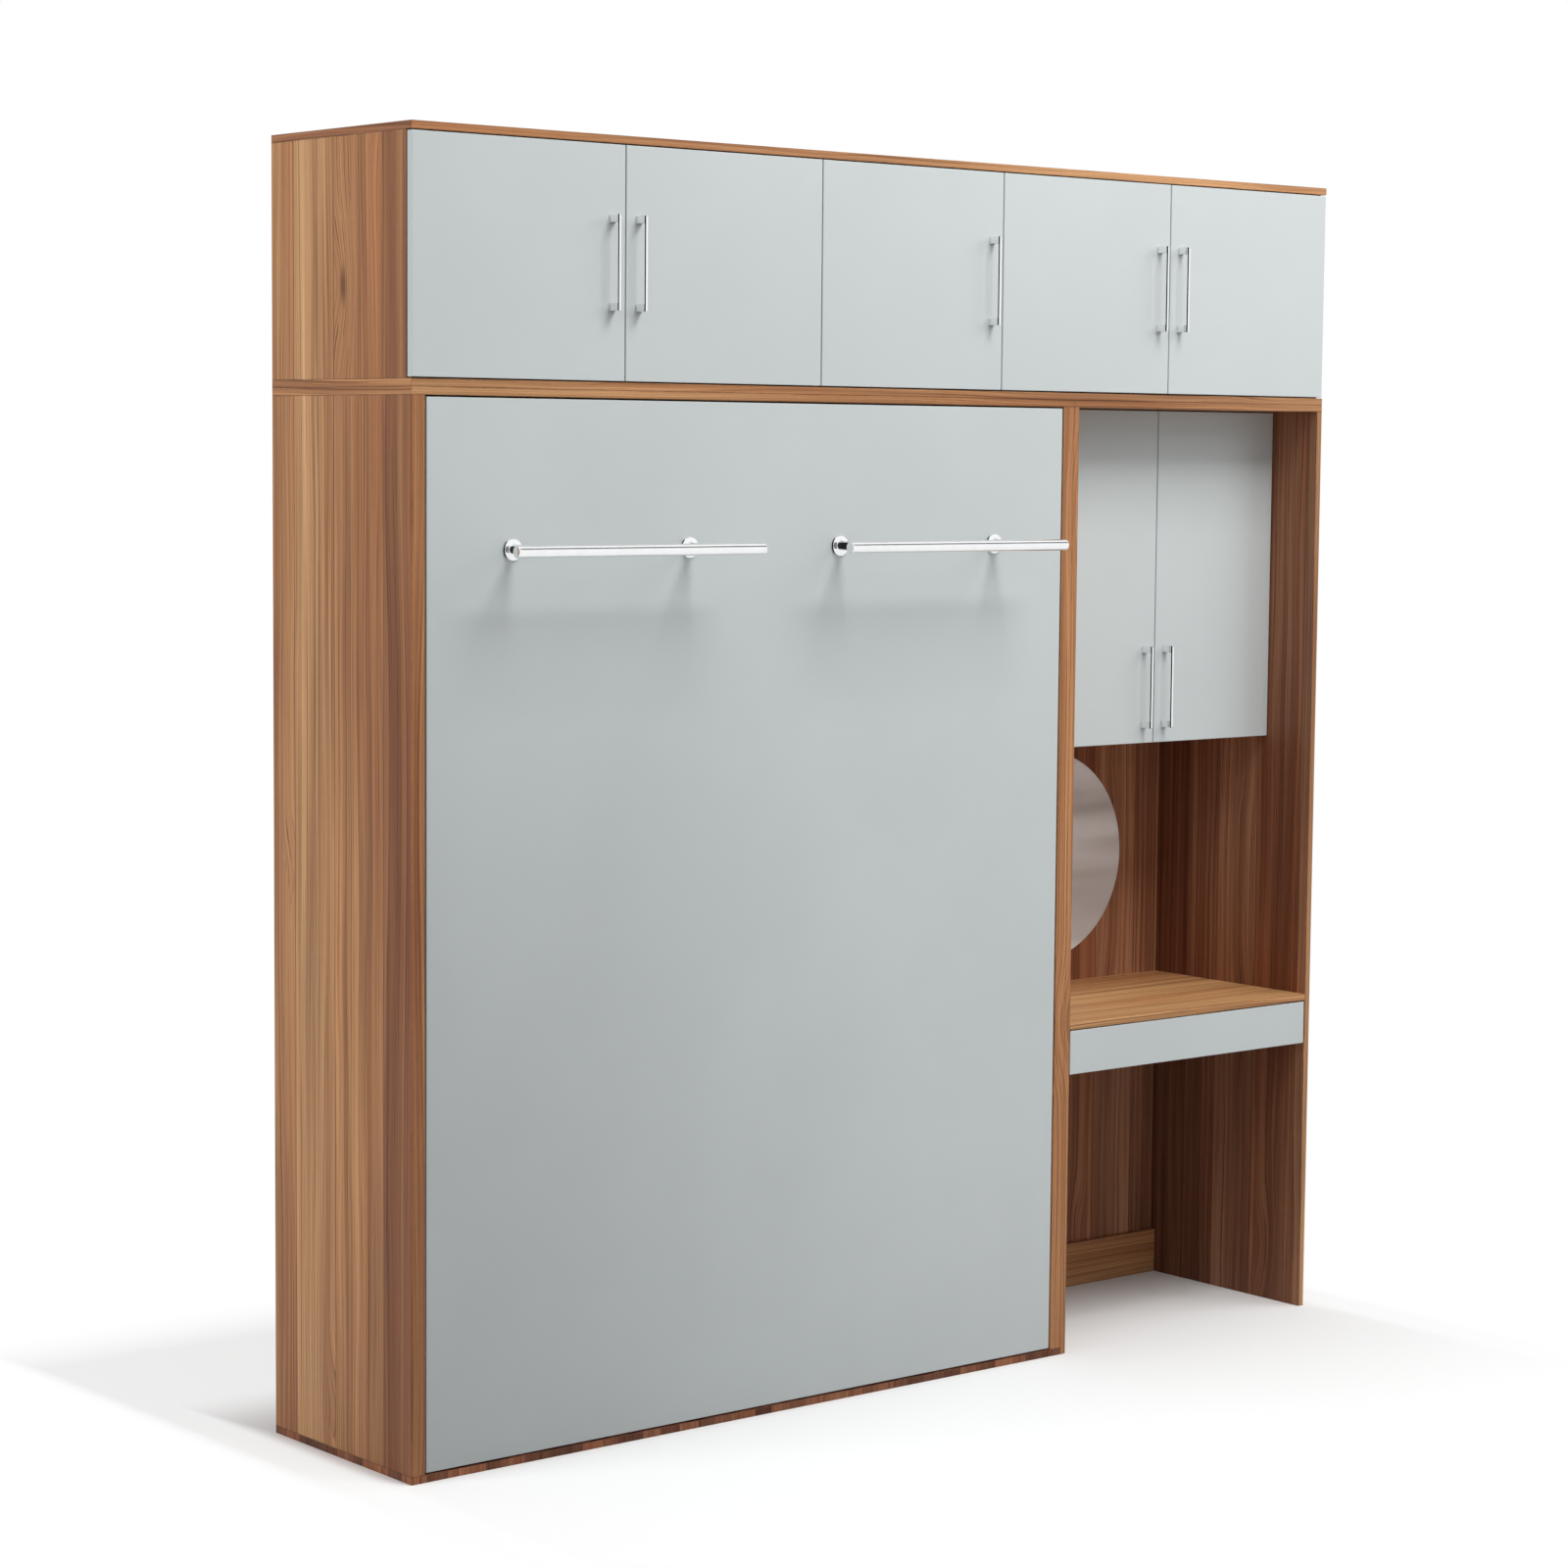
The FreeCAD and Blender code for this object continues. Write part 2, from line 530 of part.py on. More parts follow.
def mattress_section(z, inset, crown):
    """Outline of the mattress at one height: flat on the slats, crowned behind, sides drawn in."""
    x0, x1 = MATTRESS_X + inset, BED_CABINET_WIDTH - MATTRESS_X - inset
    y0 = MATTRESS_Y + inset * MATTRESS_HOLLOW / MATTRESS_END_ROUND
    y1 = MATTRESS_Y + MATTRESS_THICKNESS - MATTRESS_CROWN - inset
    middle = (y0 + y1) / 2
    drawn = MATTRESS_HOLLOW
    front = Part.makeLine(V(x0, y0, z), V(x1, y0, z))
    right = Part.Arc(V(x1, y0, z), V(x1 - drawn, middle, z), V(x1, y1, z)).toShape()
    rear = Part.Arc(V(x1, y1, z), V(BED_MIDDLE, y1 + crown, z), V(x0, y1, z)).toShape()
    left = Part.Arc(V(x0, y1, z), V(x0 + drawn, middle, z), V(x0, y0, z)).toShape()
    return Part.Wire([front, right, rear, left])


def mattress():
    """Lofted through sections, full in the middle and drawn in towards both ends."""
    z0 = FRAME_Z0 + RAIL_WIDTH + MATTRESS_END_GAP
    z1 = z0 + MATTRESS_LENGTH
    steps = [(0, 1), (1 / 6, 1 / 2), (1 / 2, 1 / 6), (1, 0), (5, 0)]
    rising = [(z0 + MATTRESS_END_ROUND * up, MATTRESS_END_ROUND * side) for up, side in steps]
    falling = [(z0 + z1 - z, inset) for z, inset in reversed(rising)]
    places = rising + [((z0 + z1) / 2, 0)] + falling
    sections = []
    for z, inset in places:
        near_end = min(z - z0, z1 - z) / (5 * MATTRESS_END_ROUND)
        sections.append(mattress_section(z, inset, MATTRESS_CROWN * min(1, 1 / 3 + near_end)))
    write("mattress", Part.makeLoft(sections, True, True))


def strap_blank(z, reach, low_y):
    """The room over the mattress's outline, grown by reach, as wide as a strap."""
    x0, x1 = MATTRESS_X - reach, BED_CABINET_WIDTH - MATTRESS_X + reach
    top = MATTRESS_Y + MATTRESS_THICKNESS + reach
    corner = top - MATTRESS_CROWN
    low = Part.makeLine(V(x0, low_y, 0), V(x1, low_y, 0))
    right = Part.makeLine(V(x1, low_y, 0), V(x1, corner, 0))
    crown = Part.Arc(V(x1, corner, 0), V(BED_MIDDLE, top, 0), V(x0, corner, 0)).toShape()
    left = Part.makeLine(V(x0, corner, 0), V(x0, low_y, 0))
    blank = Part.Face(Part.Wire([low, right, crown, left])).extrude(V(0, 0, STRAP_WIDTH))
    blank.translate(V(0, 0, z - STRAP_WIDTH / 2))
    return blank


def strap(z):
    """Webbing over the mattress's crown, with a folded hem at both ends that is screwed to the rails."""
    y0 = BOARD + RAIL_DEPTH / 2
    reach = STRAP_CLEARANCE + STRAP_THICKNESS
    webbing = cut(strap_blank(z, reach, y0), strap_blank(z, STRAP_CLEARANCE, y0 - OVERRUN))
    z0 = z - STRAP_WIDTH / 2
    hem = box(RAIL_X + RAIL_WIDTH, MATTRESS_X - STRAP_CLEARANCE, y0, y0 + STRAP_HEM, z0, z0 + STRAP_WIDTH)
    return fuse(webbing, *pair(hem))


def strap_places():
    """The straps lie a quarter of the way from both ends, midway between two slats."""
    heights = slat_places()
    step = SLAT_COUNT // 4
    pairs = (heights[step:step + 2], heights[-step - 2:-step])
    return [sum(neighbours) / 2 for neighbours in pairs]


def leg_bar(centre):
    """Chrome tube on two posts with round flanges, and studs that reach through the panel and the rail."""
    x0, x1 = centre - BAR_LENGTH / 2, centre + BAR_LENGTH / 2
    bar = rod_x(x0, x1, -BAR_STANDOFF, BAR_HEIGHT, BAR_DIAMETER / 2)
    stud_end = BOARD + TUBE_WALL + BAR_WASHER_THICKNESS + BAR_NUT_HEIGHT
    pieces = []
    for s in (-1, 1):
        x = centre + s * BAR_POST_SPACING / 2
        pieces.append(rod_y(x, -BAR_STANDOFF, -FLANGE_THICKNESS, BAR_HEIGHT, POST_DIAMETER / 2))
        pieces.append(rod_y(x, -FLANGE_THICKNESS, 0, BAR_HEIGHT, FLANGE_DIAMETER / 2))
        pieces.append(prism_y(x, -FLANGE_THICKNESS, stud_end, BAR_HEIGHT, BAR_BOLT / 2))
    return fuse(bar, *pieces)


def bar_nut(x):
    """Washer and nut on the web of the open rail, around the bar's stud."""
    washer_y = BOARD + TUBE_WALL
    nut_y = washer_y + BAR_WASHER_THICKNESS
    end_y = nut_y + BAR_NUT_HEIGHT
    washer = prism_y(x, washer_y, nut_y, BAR_HEIGHT, BAR_WASHER / 2)
    nut = prism_y(x, nut_y, end_y, BAR_HEIGHT, hexagon_radius(BAR_NUT), 6)
    hole = prism_y(x, washer_y - OVERRUN, end_y + OVERRUN, BAR_HEIGHT, BAR_BOLT / 2)
    return cut(fuse(washer, nut), hole)


def bed():
    bed_front_panel()
    bed_side_rails()
    bed_cross_rails()
    write("bed_slats", *[slat(x0, x1, z) for z in slat_places() for x0, x1 in slat_ends()])
    write("slat_holders", *slat_holders())
    mattress()
    write("mattress_straps", *[strap(z) for z in strap_places()])
    write("leg_bars", *[leg_bar(BED_MIDDLE + s * BAR_SPACING / 2) for s in (-1, 1)])
    write("bar_nuts", *[bar_nut(x) for x in bar_post_places()])


# Doors, handles and hinges

def handle(x, y, z):
    """Bow handle with a thin grip flush with the left of its feet; x and z are the middle of its feet."""
    left, right = x - HANDLE_FOOT / 2, x + HANDLE_FOOT / 2
    z0, z1 = z - HANDLE_HEIGHT / 2, z + HANDLE_HEIGHT / 2
    front = y - HANDLE_DEPTH
    grip = box(left, left + HANDLE_GRIP, front, front + HANDLE_GRIP, z0, z1)
    ends = [e for e in grip.Edges if e.BoundBox.YMax < front + SLIDE_FIT and e.BoundBox.ZLength < SLIDE_FIT]
    pieces = [grip.makeFillet(HANDLE_CORNER, ends)]
    for low in (z0, z1 - HANDLE_FOOT):
        outline = [V(left, y, low), V(right, y, low), V(left + HANDLE_GRIP, front + HANDLE_GRIP, low)]
        outline.append(V(left, front + HANDLE_GRIP, low))
        foot = Part.Face(Part.makePolygon(outline + outline[:1]))
        pieces.append(foot.extrude(V(0, 0, HANDLE_FOOT)))
    return fuse(*pieces)


def hinge_heights(z0, z1):
    return [z0 + HINGE_INSET, z1 - HINGE_INSET]


def cup_place(x0, x1, hinge_left):
    return x0 + CUP_INSET if hinge_left else x1 - CUP_INSET


def hinge_cup(x, y, z):
    """Steel cup let into the door's back, with its flange on the surface and a pocket for the arm."""
    back = y + BOARD
    bottom, top = back - CUP_DEPTH, back + CUP_FLANGE
    half_width, half_length = CUP_FLANGE_WIDTH / 2, CUP_FLANGE_LENGTH / 2
    cup = prism_y(x, bottom, back, z, CUP_DIAMETER / 2, CUP_ROUND_COUNT)
    flange = box(x - half_width, x + half_width, back, top, z - half_length, z + half_length)
    half = ARM_HEIGHT / 2
    pocket = box(x - half_width + CUP_WALL, x + half_width - CUP_WALL, bottom + CUP_WALL, top + OVERRUN,
                 z - half, z + half)
    return cut(fuse(cup, flange), pocket)


def hinge_arm(x, y, z, inward):
    """Mounting plate and arm on the side's inner face at x; inward is +1 where the room is to the right."""
    y0 = y + BOARD + CUP_FLANGE + ARM_GAP
    y1 = y0 + ARM_LENGTH
    plate = box(0, ARM_PLATE, y1 - ARM_PLATE_DEPTH, y1, z - ARM_PLATE_LENGTH / 2, z + ARM_PLATE_LENGTH / 2)
    arm = box(ARM_PLATE, ARM_PLATE + ARM_THICKNESS, y0, y1, z - ARM_HEIGHT / 2, z + ARM_HEIGHT / 2)
    top = ARM_PLATE + ARM_THICKNESS - ARM_WALL
    half = ARM_HEIGHT / 2 - ARM_WALL
    hollow = box(ARM_PLATE - OVERRUN, top, y0 + ARM_WALL, y1 - ARM_PLATE_DEPTH, z - half, z + half)
    shape = fuse(plate, cut(arm, hollow))
    if inward < 0:
        shape = shape.mirror(V(0, 0, 0), V(1, 0, 0))
    shape.translate(V(x, 0, 0))
    return shape


def door(name, x0, x1, y, z0, z1, hinge_left, handle_z):
    """One door with its cup holes, its handle near the free edge and its hinge cups."""
    cup_x = cup_place(x0, x1, hinge_left)
    heights = hinge_heights(z0, z1)
    back = y + BOARD
    radius = CUP_DIAMETER / 2
    sinks = [prism_y(cup_x, back - CUP_DEPTH, back + OVERRUN, z, radius, CUP_ROUND_COUNT) for z in heights]
    write(name, cut(eased_front(x0, x1, y, z0, z1), *sinks))
    handle_x = x1 - HANDLE_EDGE if hinge_left else x0 + HANDLE_EDGE
    write(name + "_handle", handle(handle_x, y, handle_z))
    write(name + "_hinge_cups", *[hinge_cup(cup_x, y, z) for z in heights])


def upper_doors():
    """Doors are numbered from the left; each hangs on the edge named in the table of sizes."""
    z0, z1 = UPPER_FLOOR + DOOR_GAP, UPPER_CEILING - DOOR_GAP
    for k, hangs in enumerate(DOOR_HANGS):
        x0, x1 = k * DOOR_PITCH + DOOR_GAP / 2, (k + 1) * DOOR_PITCH - DOOR_GAP / 2
        door("upper_door_" + str(k + 1), x0, x1, 0, z0, z1, hangs == "left", (z0 + z1) / 2)


def wall_door_edges():
    half = DOOR_GAP / 2
    return [(DESK_X0 + DOOR_GAP, DESK_MIDDLE - half), (DESK_MIDDLE + half, DESK_X1 - DOOR_GAP)]


def wall_doors():
    z0, z1 = WALL_CABINET_Z, LOWER_TOP - DOOR_GAP
    handle_z = z0 + WALL_HANDLE_RISE + HANDLE_HEIGHT / 2
    for name, edges, hinge_left in zip(("left", "right"), wall_door_edges(), (True, False)):
        door("wall_door_" + name, *edges, WALL_CABINET_SETBACK, z0, z1, hinge_left, handle_z)


def hanging_edges():
    """For each upper door, the upright that it hangs on, counted from the left side, and the way inwards."""
    return [(k, 1) if hangs == "left" else (k + 1, -1) for k, hangs in enumerate(DOOR_HANGS)]


def upper_hinge_faces():
    """The upright's face that each upper door hangs on, and the way inwards."""
    faces = []
    for edge, inward in hanging_edges():
        outer = edge in (0, len(DOOR_HANGS))
        faces.append((edge * DOOR_PITCH + inward * (BOARD if outer else BOARD / 2), inward))
    return faces


def hinge_arms():
    arms = []
    for z in hinge_heights(UPPER_FLOOR + DOOR_GAP, UPPER_CEILING - DOOR_GAP):
        arms.extend(hinge_arm(x, 0, z, inward) for x, inward in upper_hinge_faces())
    for z in hinge_heights(WALL_CABINET_Z, LOWER_TOP - DOOR_GAP):
        arms.extend(hinge_arm(x, WALL_CABINET_SETBACK, z, s) for x, s in ((DESK_X0, 1), (DESK_X1, -1)))
    write("hinge_arms", *arms)


# Upper unit

def upper_unit():
    write("upper_bottom_board", box(0, WIDTH, 0, DEPTH, LOWER_HEIGHT, UPPER_FLOOR))
    write("upper_top_board", box(0, WIDTH, 0, DEPTH, UPPER_CEILING, HEIGHT))
    sides = [box(x, x + BOARD, UPRIGHT_Y, DEPTH, UPPER_FLOOR, UPPER_CEILING) for x in (0, WIDTH - BOARD)]
    inner = sorted({edge for edge, _ in hanging_edges()} - {0, len(DOOR_HANGS)})
    middles = [edge * DOOR_PITCH - BOARD / 2 for edge in inner]
    sides += [box(x, x + BOARD, UPRIGHT_Y, BACK_FACE, UPPER_FLOOR, UPPER_CEILING) for x in middles]
    write("upper_uprights", *sides)
    write("upper_back_panel", box(BOARD, WIDTH - BOARD, BACK_FACE, DEPTH, UPPER_FLOOR, UPPER_CEILING))


# Desk unit

def shelf_pin_places():
    y0 = WALL_DOOR_BACK + SHELF_SETBACK + SHELF_PIN_INSET
    y1 = BACK_FACE - SHELF_PIN_INSET
    return [(y, shelf_z() - SHELF_PIN / 2) for y in (y0, y1)]


def shelf_z():
    return (WALL_CABINET_Z + LOWER_TOP) / 2


def desk_side(x0, x1, inner_x):
    """A side of the desk unit, with blind holes for the shelf pins in its inner face."""
    side = box(x0, x1, 0, DEPTH, 0, LOWER_TOP)
    reach = SHELF_PIN_DEPTH if inner_x == x0 else -SHELF_PIN_DEPTH
    low, high = min(inner_x, inner_x + reach), max(inner_x, inner_x + reach)
    return cut(side, *[prism_x(low, high, y, z, SHELF_PIN / 2) for y, z in shelf_pin_places()])


def shelf_pins():
    pins = []
    for y, z in shelf_pin_places():
        pins.append(prism_x(DESK_X0 - SHELF_PIN_DEPTH, DESK_X0 + SHELF_PIN_REACH, y, z, SHELF_PIN / 2))
        pins.append(prism_x(DESK_X1 - SHELF_PIN_REACH, DESK_X1 + SHELF_PIN_DEPTH, y, z, SHELF_PIN / 2))
    write("shelf_pins", *pins)


def mirror():
    """Round mirror glued to the back of the niche, a little above the niche's middle."""
    radius = (WALL_CABINET_Z - DESK_HEIGHT) / 2 - MIRROR_MARGIN
    z = (WALL_CABINET_Z + DESK_HEIGHT) / 2 + MIRROR_RISE
    write("round_mirror", rod_y(DESK_MIDDLE, BACK_FACE - MIRROR_THICKNESS, BACK_FACE, z, radius))


def desk_unit():
    x0, x1 = DESK_X0, DESK_X1
    write("desk_side_panel_left", desk_side(BED_CABINET_WIDTH, x0, x0))
    write("desk_side_panel_right", desk_side(x1, WIDTH, x1))
    write("desk_top_board", box(BED_CABINET_WIDTH, WIDTH, 0, DEPTH, LOWER_TOP, LOWER_HEIGHT))
    write("desk_back_panel", box(x0, x1, BACK_FACE, DEPTH, DESK_BACK_RAIL, LOWER_TOP))
    write("desktop", box(x0, x1, 0, BACK_FACE, DESK_UNDER, DESK_HEIGHT))
    y0, z0 = WALL_DOOR_BACK + DOOR_BACK_GAP, WALL_CABINET_Z
    write("wall_cabinet_bottom", box(x0, x1, y0, BACK_FACE, z0, z0 + BOARD))
    y0, z0 = WALL_DOOR_BACK + SHELF_SETBACK, shelf_z()
    write("wall_cabinet_shelf", box(x0 + SHELF_PLAY, x1 - SHELF_PLAY, y0, BACK_FACE, z0, z0 + BOARD))
    shelf_pins()
    mirror()


# Drawer under the desktop

def channel(x_web, x_open, y0, y1, z0, z1):
    """A U section along y, with its web at x_web and its mouth at x_open."""
    low, high = min(x_web, x_open), max(x_web, x_open)
    inner_low = low + RUNNER_WALL if x_web < x_open else low - OVERRUN
    inner_high = high + OVERRUN if x_web < x_open else high - RUNNER_WALL
    hollow = box(inner_low, inner_high, y0 - OVERRUN, y1 + OVERRUN, z0 + RUNNER_WALL, z1 - RUNNER_WALL)
    return cut(box(low, high, y0, y1, z0, z1), hollow)


def drawer_middle():
    return DRAWER_TOP - DRAWER_DROP - DRAWER_BOX_HEIGHT / 2


def runner_pairs():
    """Outer rails on the desk's sides and inner rails on the drawer, left and right."""
    y0, y1 = BOARD, BOARD + RUNNER_LENGTH
    z = drawer_middle()
    half = RUNNER_HEIGHT / 2
    inner_half = half - RUNNER_WALL - RUNNER_PLAY
    reach = (RUNNER_SPACE + RUNNER_OVERLAP) / 2
    outer, inner = [], []
    for side_x, way in ((DESK_X0, 1), (DESK_X1, -1)):
        outer.append(channel(side_x, side_x + way * reach, y0, y1, z - half, z + half))
        box_x = side_x + way * RUNNER_SPACE
        inner.append(channel(box_x, box_x - way * reach, y0, y1, z - inner_half, z + inner_half))
    return outer, inner


def drawer_box():
    """Two sides, a front and a back inside the drawer front, and a floor held in between."""
    x0, x1 = DESK_X0 + RUNNER_SPACE, DESK_X1 - RUNNER_SPACE
    y0, y1 = BOARD, BOARD + DRAWER_BOX_DEPTH
    z0 = drawer_middle() - DRAWER_BOX_HEIGHT / 2
    z1 = z0 + DRAWER_BOX_HEIGHT
    inner_x0, inner_x1 = x0 + DRAWER_BOARD, x1 - DRAWER_BOARD
    sides = [box(x0, inner_x0, y0, y1, z0, z1), box(inner_x1, x1, y0, y1, z0, z1)]
    ends = [box(inner_x0, inner_x1, y0, y0 + DRAWER_BOARD, z0, z1)]
    ends.append(box(inner_x0, inner_x1, y1 - DRAWER_BOARD, y1, z0, z1))
    floor_z = z0 + DRAWER_FLOOR_RISE
    floor = box(inner_x0, inner_x1, y0 + DRAWER_BOARD, y1 - DRAWER_BOARD, floor_z, floor_z + DRAWER_FLOOR)
    return sides + ends + [floor]


def drawer():
    x0, x1 = DESK_X0 + DOOR_GAP, DESK_X1 - DOOR_GAP
    write("drawer_front", eased_front(x0, x1, 0, DRAWER_BOTTOM, DRAWER_TOP))
    write("drawer_box", *drawer_box())
    outer, inner = runner_pairs()
    write("drawer_runners", *outer)
    write("drawer_slides", *inner)


def main():
    os.makedirs("parts", exist_ok=True)
    bed_cabinet()
    rear_rails()
    fold_mechanism()
    bed()
    desk_unit()
    drawer()
    wall_doors()
    upper_unit()
    upper_doors()
    hinge_arms()


main()
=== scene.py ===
"""Looks of a fold-down wall bed with a desk unit and upper cupboards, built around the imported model."""

import json
import logging
import math
from dataclasses import dataclass, field, replace
from enum import Enum
from typing import Iterable, Sequence

import bmesh
import bpy
from mathutils import Matrix, Vector
from mathutils.bvhtree import BVHTree


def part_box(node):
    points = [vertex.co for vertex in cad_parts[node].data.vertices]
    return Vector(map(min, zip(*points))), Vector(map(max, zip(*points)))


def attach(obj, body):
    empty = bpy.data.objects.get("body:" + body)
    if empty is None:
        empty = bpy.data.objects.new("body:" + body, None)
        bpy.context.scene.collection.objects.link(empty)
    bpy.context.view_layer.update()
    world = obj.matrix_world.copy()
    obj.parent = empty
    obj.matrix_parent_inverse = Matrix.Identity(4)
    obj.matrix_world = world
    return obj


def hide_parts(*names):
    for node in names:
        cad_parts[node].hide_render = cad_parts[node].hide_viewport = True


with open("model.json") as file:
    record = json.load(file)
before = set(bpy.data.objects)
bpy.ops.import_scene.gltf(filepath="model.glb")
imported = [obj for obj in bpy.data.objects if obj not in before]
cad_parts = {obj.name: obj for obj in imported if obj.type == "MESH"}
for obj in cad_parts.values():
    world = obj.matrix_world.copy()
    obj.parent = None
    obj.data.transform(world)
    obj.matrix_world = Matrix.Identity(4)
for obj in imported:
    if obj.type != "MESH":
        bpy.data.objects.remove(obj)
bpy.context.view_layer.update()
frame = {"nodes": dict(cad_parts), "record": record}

LOG = logging.getLogger("wall_bed")
MM = 0.001
WHITE = (1, 1, 1, 1)
RIM_STEPS = 5
RIGHT, BACK, UP = Vector((1, 0, 0)), Vector((0, 1, 0)), Vector((0, 0, 1))

Socket = bpy.types.NodeSocket
Shape = bmesh.types.BMesh
Colour = tuple[float, float, float, float]
Place = tuple[float, float, float]
Outline = list[tuple[float, float]]
Box = tuple[Vector, Vector]
Sockets = tuple[tuple[str, str], ...]


def painted(red: float, green: float, blue: float) -> Colour:
    """Turns a colour as a picture shows it, from 0 to 255, into the one that a shader takes.

    Args:
        red: The red part.
        green: The green part.
        blue: The blue part.

    Returns:
        The linear colour with its alpha.
    """
    shown = (red / 255, green / 255, blue / 255)
    linear = [c / 12.92 if c <= 0.04045 else ((c + 0.055) / 1.055) ** 2.4 for c in shown]
    return (linear[0], linear[1], linear[2], 1.0)


def dimmed(colour: Colour, share: float) -> Colour:
    """Darkens a colour to a share of itself."""
    return (colour[0] * share, colour[1] * share, colour[2] * share, 1.0)


def add_sockets(tree: bpy.types.NodeTree, way: str, sockets: Sockets) -> None:
    """Gives a node group its named sockets, by their names and kinds; way is INPUT or OUTPUT."""
    for name, kind in sockets:
        tree.interface.new_socket(name=name, in_out=way, socket_type="NodeSocket" + kind)


class Wiring:
    """Adds and links the nodes of one tree."""

    def __init__(self, tree: bpy.types.NodeTree) -> None:
        """Keeps the tree to work on."""
        self.tree = tree

    def add(self, kind: str, **settings: object) -> bpy.types.Node:
        """Adds a node.

        Args:
            kind: The node's type.
            settings: Properties to set on it.

        Returns:
            The new node.
        """
        node = self.tree.nodes.new(kind)
        for name, value in settings.items():
            setattr(node, name, value)
        return node

    def feed(self, socket: Socket, value: object) -> None:
        """Links a socket into an input, or sets the input's own value.

        Args:
            socket: The input.
            value: A socket, a value, or None to leave the input as it is.
        """
        if isinstance(value, Socket):
            self.tree.links.new(value, socket)
        elif value is not None:
            socket.default_value = value

    def fill(self, inputs: bpy.types.NodeInputs, values: dict[str | int, object]) -> None:
        """Feeds several inputs by their names or numbers."""
        for name, value in values.items():
            self.feed(inputs[name], value)

    def put(self, kind: str, inputs: dict[str | int, object], output: int = 0, **settings: object) -> Socket:
        """Adds a node and feeds its inputs.

        Args:
            kind: The node's type.
            inputs: Values or sockets by the name or the number of the input.
            output: Which output to give.
            settings: Properties to set on the node.

        Returns:
            The output socket.
        """
        node = self.add(kind, **settings)
        self.fill(node.inputs, inputs)
        return node.outputs[output]

    def row(self, kind: str, values: Sequence[object], output: int = 0, **settings: object) -> Socket:
        """Adds a node and feeds its inputs in their order."""
        return self.put(kind, dict(enumerate(values)), output, **settings)

    def math(self, operation: str, *values: object, clamp: bool = False) -> Socket:
        """Works on numbers."""
        return self.row("ShaderNodeMath", values, operation=operation, use_clamp=clamp)

    def times(self, first: object, second: object) -> Socket:
        """Multiplies two numbers."""
        return self.math("MULTIPLY", first, second)

    def plus(self, first: object, second: object) -> Socket:
        """Adds two numbers."""
        return self.math("ADD", first, second)

    def times_plus(self, first: object, second: object, third: object) -> Socket:
        """Multiplies two numbers and adds a third."""
        return self.math("MULTIPLY_ADD", first, second, third)

    def largest(self, first: object, second: object) -> Socket:
        """Gives the larger of two numbers."""
        return self.math("MAXIMUM", first, second)

    def vector(self, operation: str, *values: object, output: int = 0) -> Socket:
        """Works on vectors; output 1 is a number."""
        return self.row("ShaderNodeVectorMath", values, output, operation=operation)

    def combine(self, across: object, along: object, depth: object) -> Socket:
        """Makes a vector of three numbers."""
        return self.row("ShaderNodeCombineXYZ", (across, along, depth))

    def separate(self, vector: Socket) -> tuple[Socket, Socket, Socket]:
        """Splits a vector or a colour into three numbers."""
        outputs = self.row("ShaderNodeSeparateXYZ", (vector,)).node.outputs
        return outputs[0], outputs[1], outputs[2]

    def directions(self) -> tuple[Socket, Socket, Socket]:
        """Gives how far the surface faces right, back and up."""
        return self.separate(self.add("ShaderNodeTexCoord").outputs["Normal"])

    def noise(self, vector: Socket, scale: object, detail: float, rough: float) -> Socket:
        """Reads a noise of about 0 to 1; detail counts its finer layers and rough is their strength."""
        inputs = {"Vector": vector, "Scale": scale, "Detail": detail, "Roughness": rough}
        return self.put("ShaderNodeTexNoise", inputs)

    def cells(self, place: Socket, randomness: float) -> tuple[Socket, Socket]:
        """Cuts a line into uneven lengths.

        Args:
            place: The place on the line.
            randomness: 0 for even lengths, up to 1.

        Returns:
            A colour for each length, and how near its end is.
        """
        cell, line = {"W": place, "Scale": 1.0, "Randomness": randomness}, {"voronoi_dimensions": "1D"}
        colour = self.put("ShaderNodeTexVoronoi", cell, 1, **line)
        return colour, self.put("ShaderNodeTexVoronoi", cell, 0, feature="DISTANCE_TO_EDGE", **line)

    def spread(self, value: object, low: object, high: object, first: object = 0.0, last: object = 1.0) -> Socket:
        """Maps a value smoothly, so that low gives first and high gives last."""
        inputs = {"Value": value, "From Min": low, "From Max": high, "To Min": first, "To Max": last}
        return self.put("ShaderNodeMapRange", inputs, interpolation_type="SMOOTHSTEP")

    def facing(self, direction: Socket, low: float = 0.6, high: float = 0.8) -> Socket:
        """Gives 1 where the surface faces along an axis, either way."""
        return self.spread(self.math("ABSOLUTE", direction), low, high)

    def mix(self, factor: object, first: object, second: object, blend: str = "MIX") -> Socket:
        """Mixes two colours; the factor is the share of the second."""
        inputs = {0: factor, 6: first, 7: second}
        return self.put("ShaderNodeMix", inputs, 2, data_type="RGBA", blend_type=blend)

    def bump(self, height: Socket, strength: float, depth: float) -> Socket:
        """Gives a normal from a height, of which 1 stands for a depth in metres."""
        inputs = {"Strength": strength, "Distance": depth, "Height": height}
        return self.put("ShaderNodeBump", inputs)


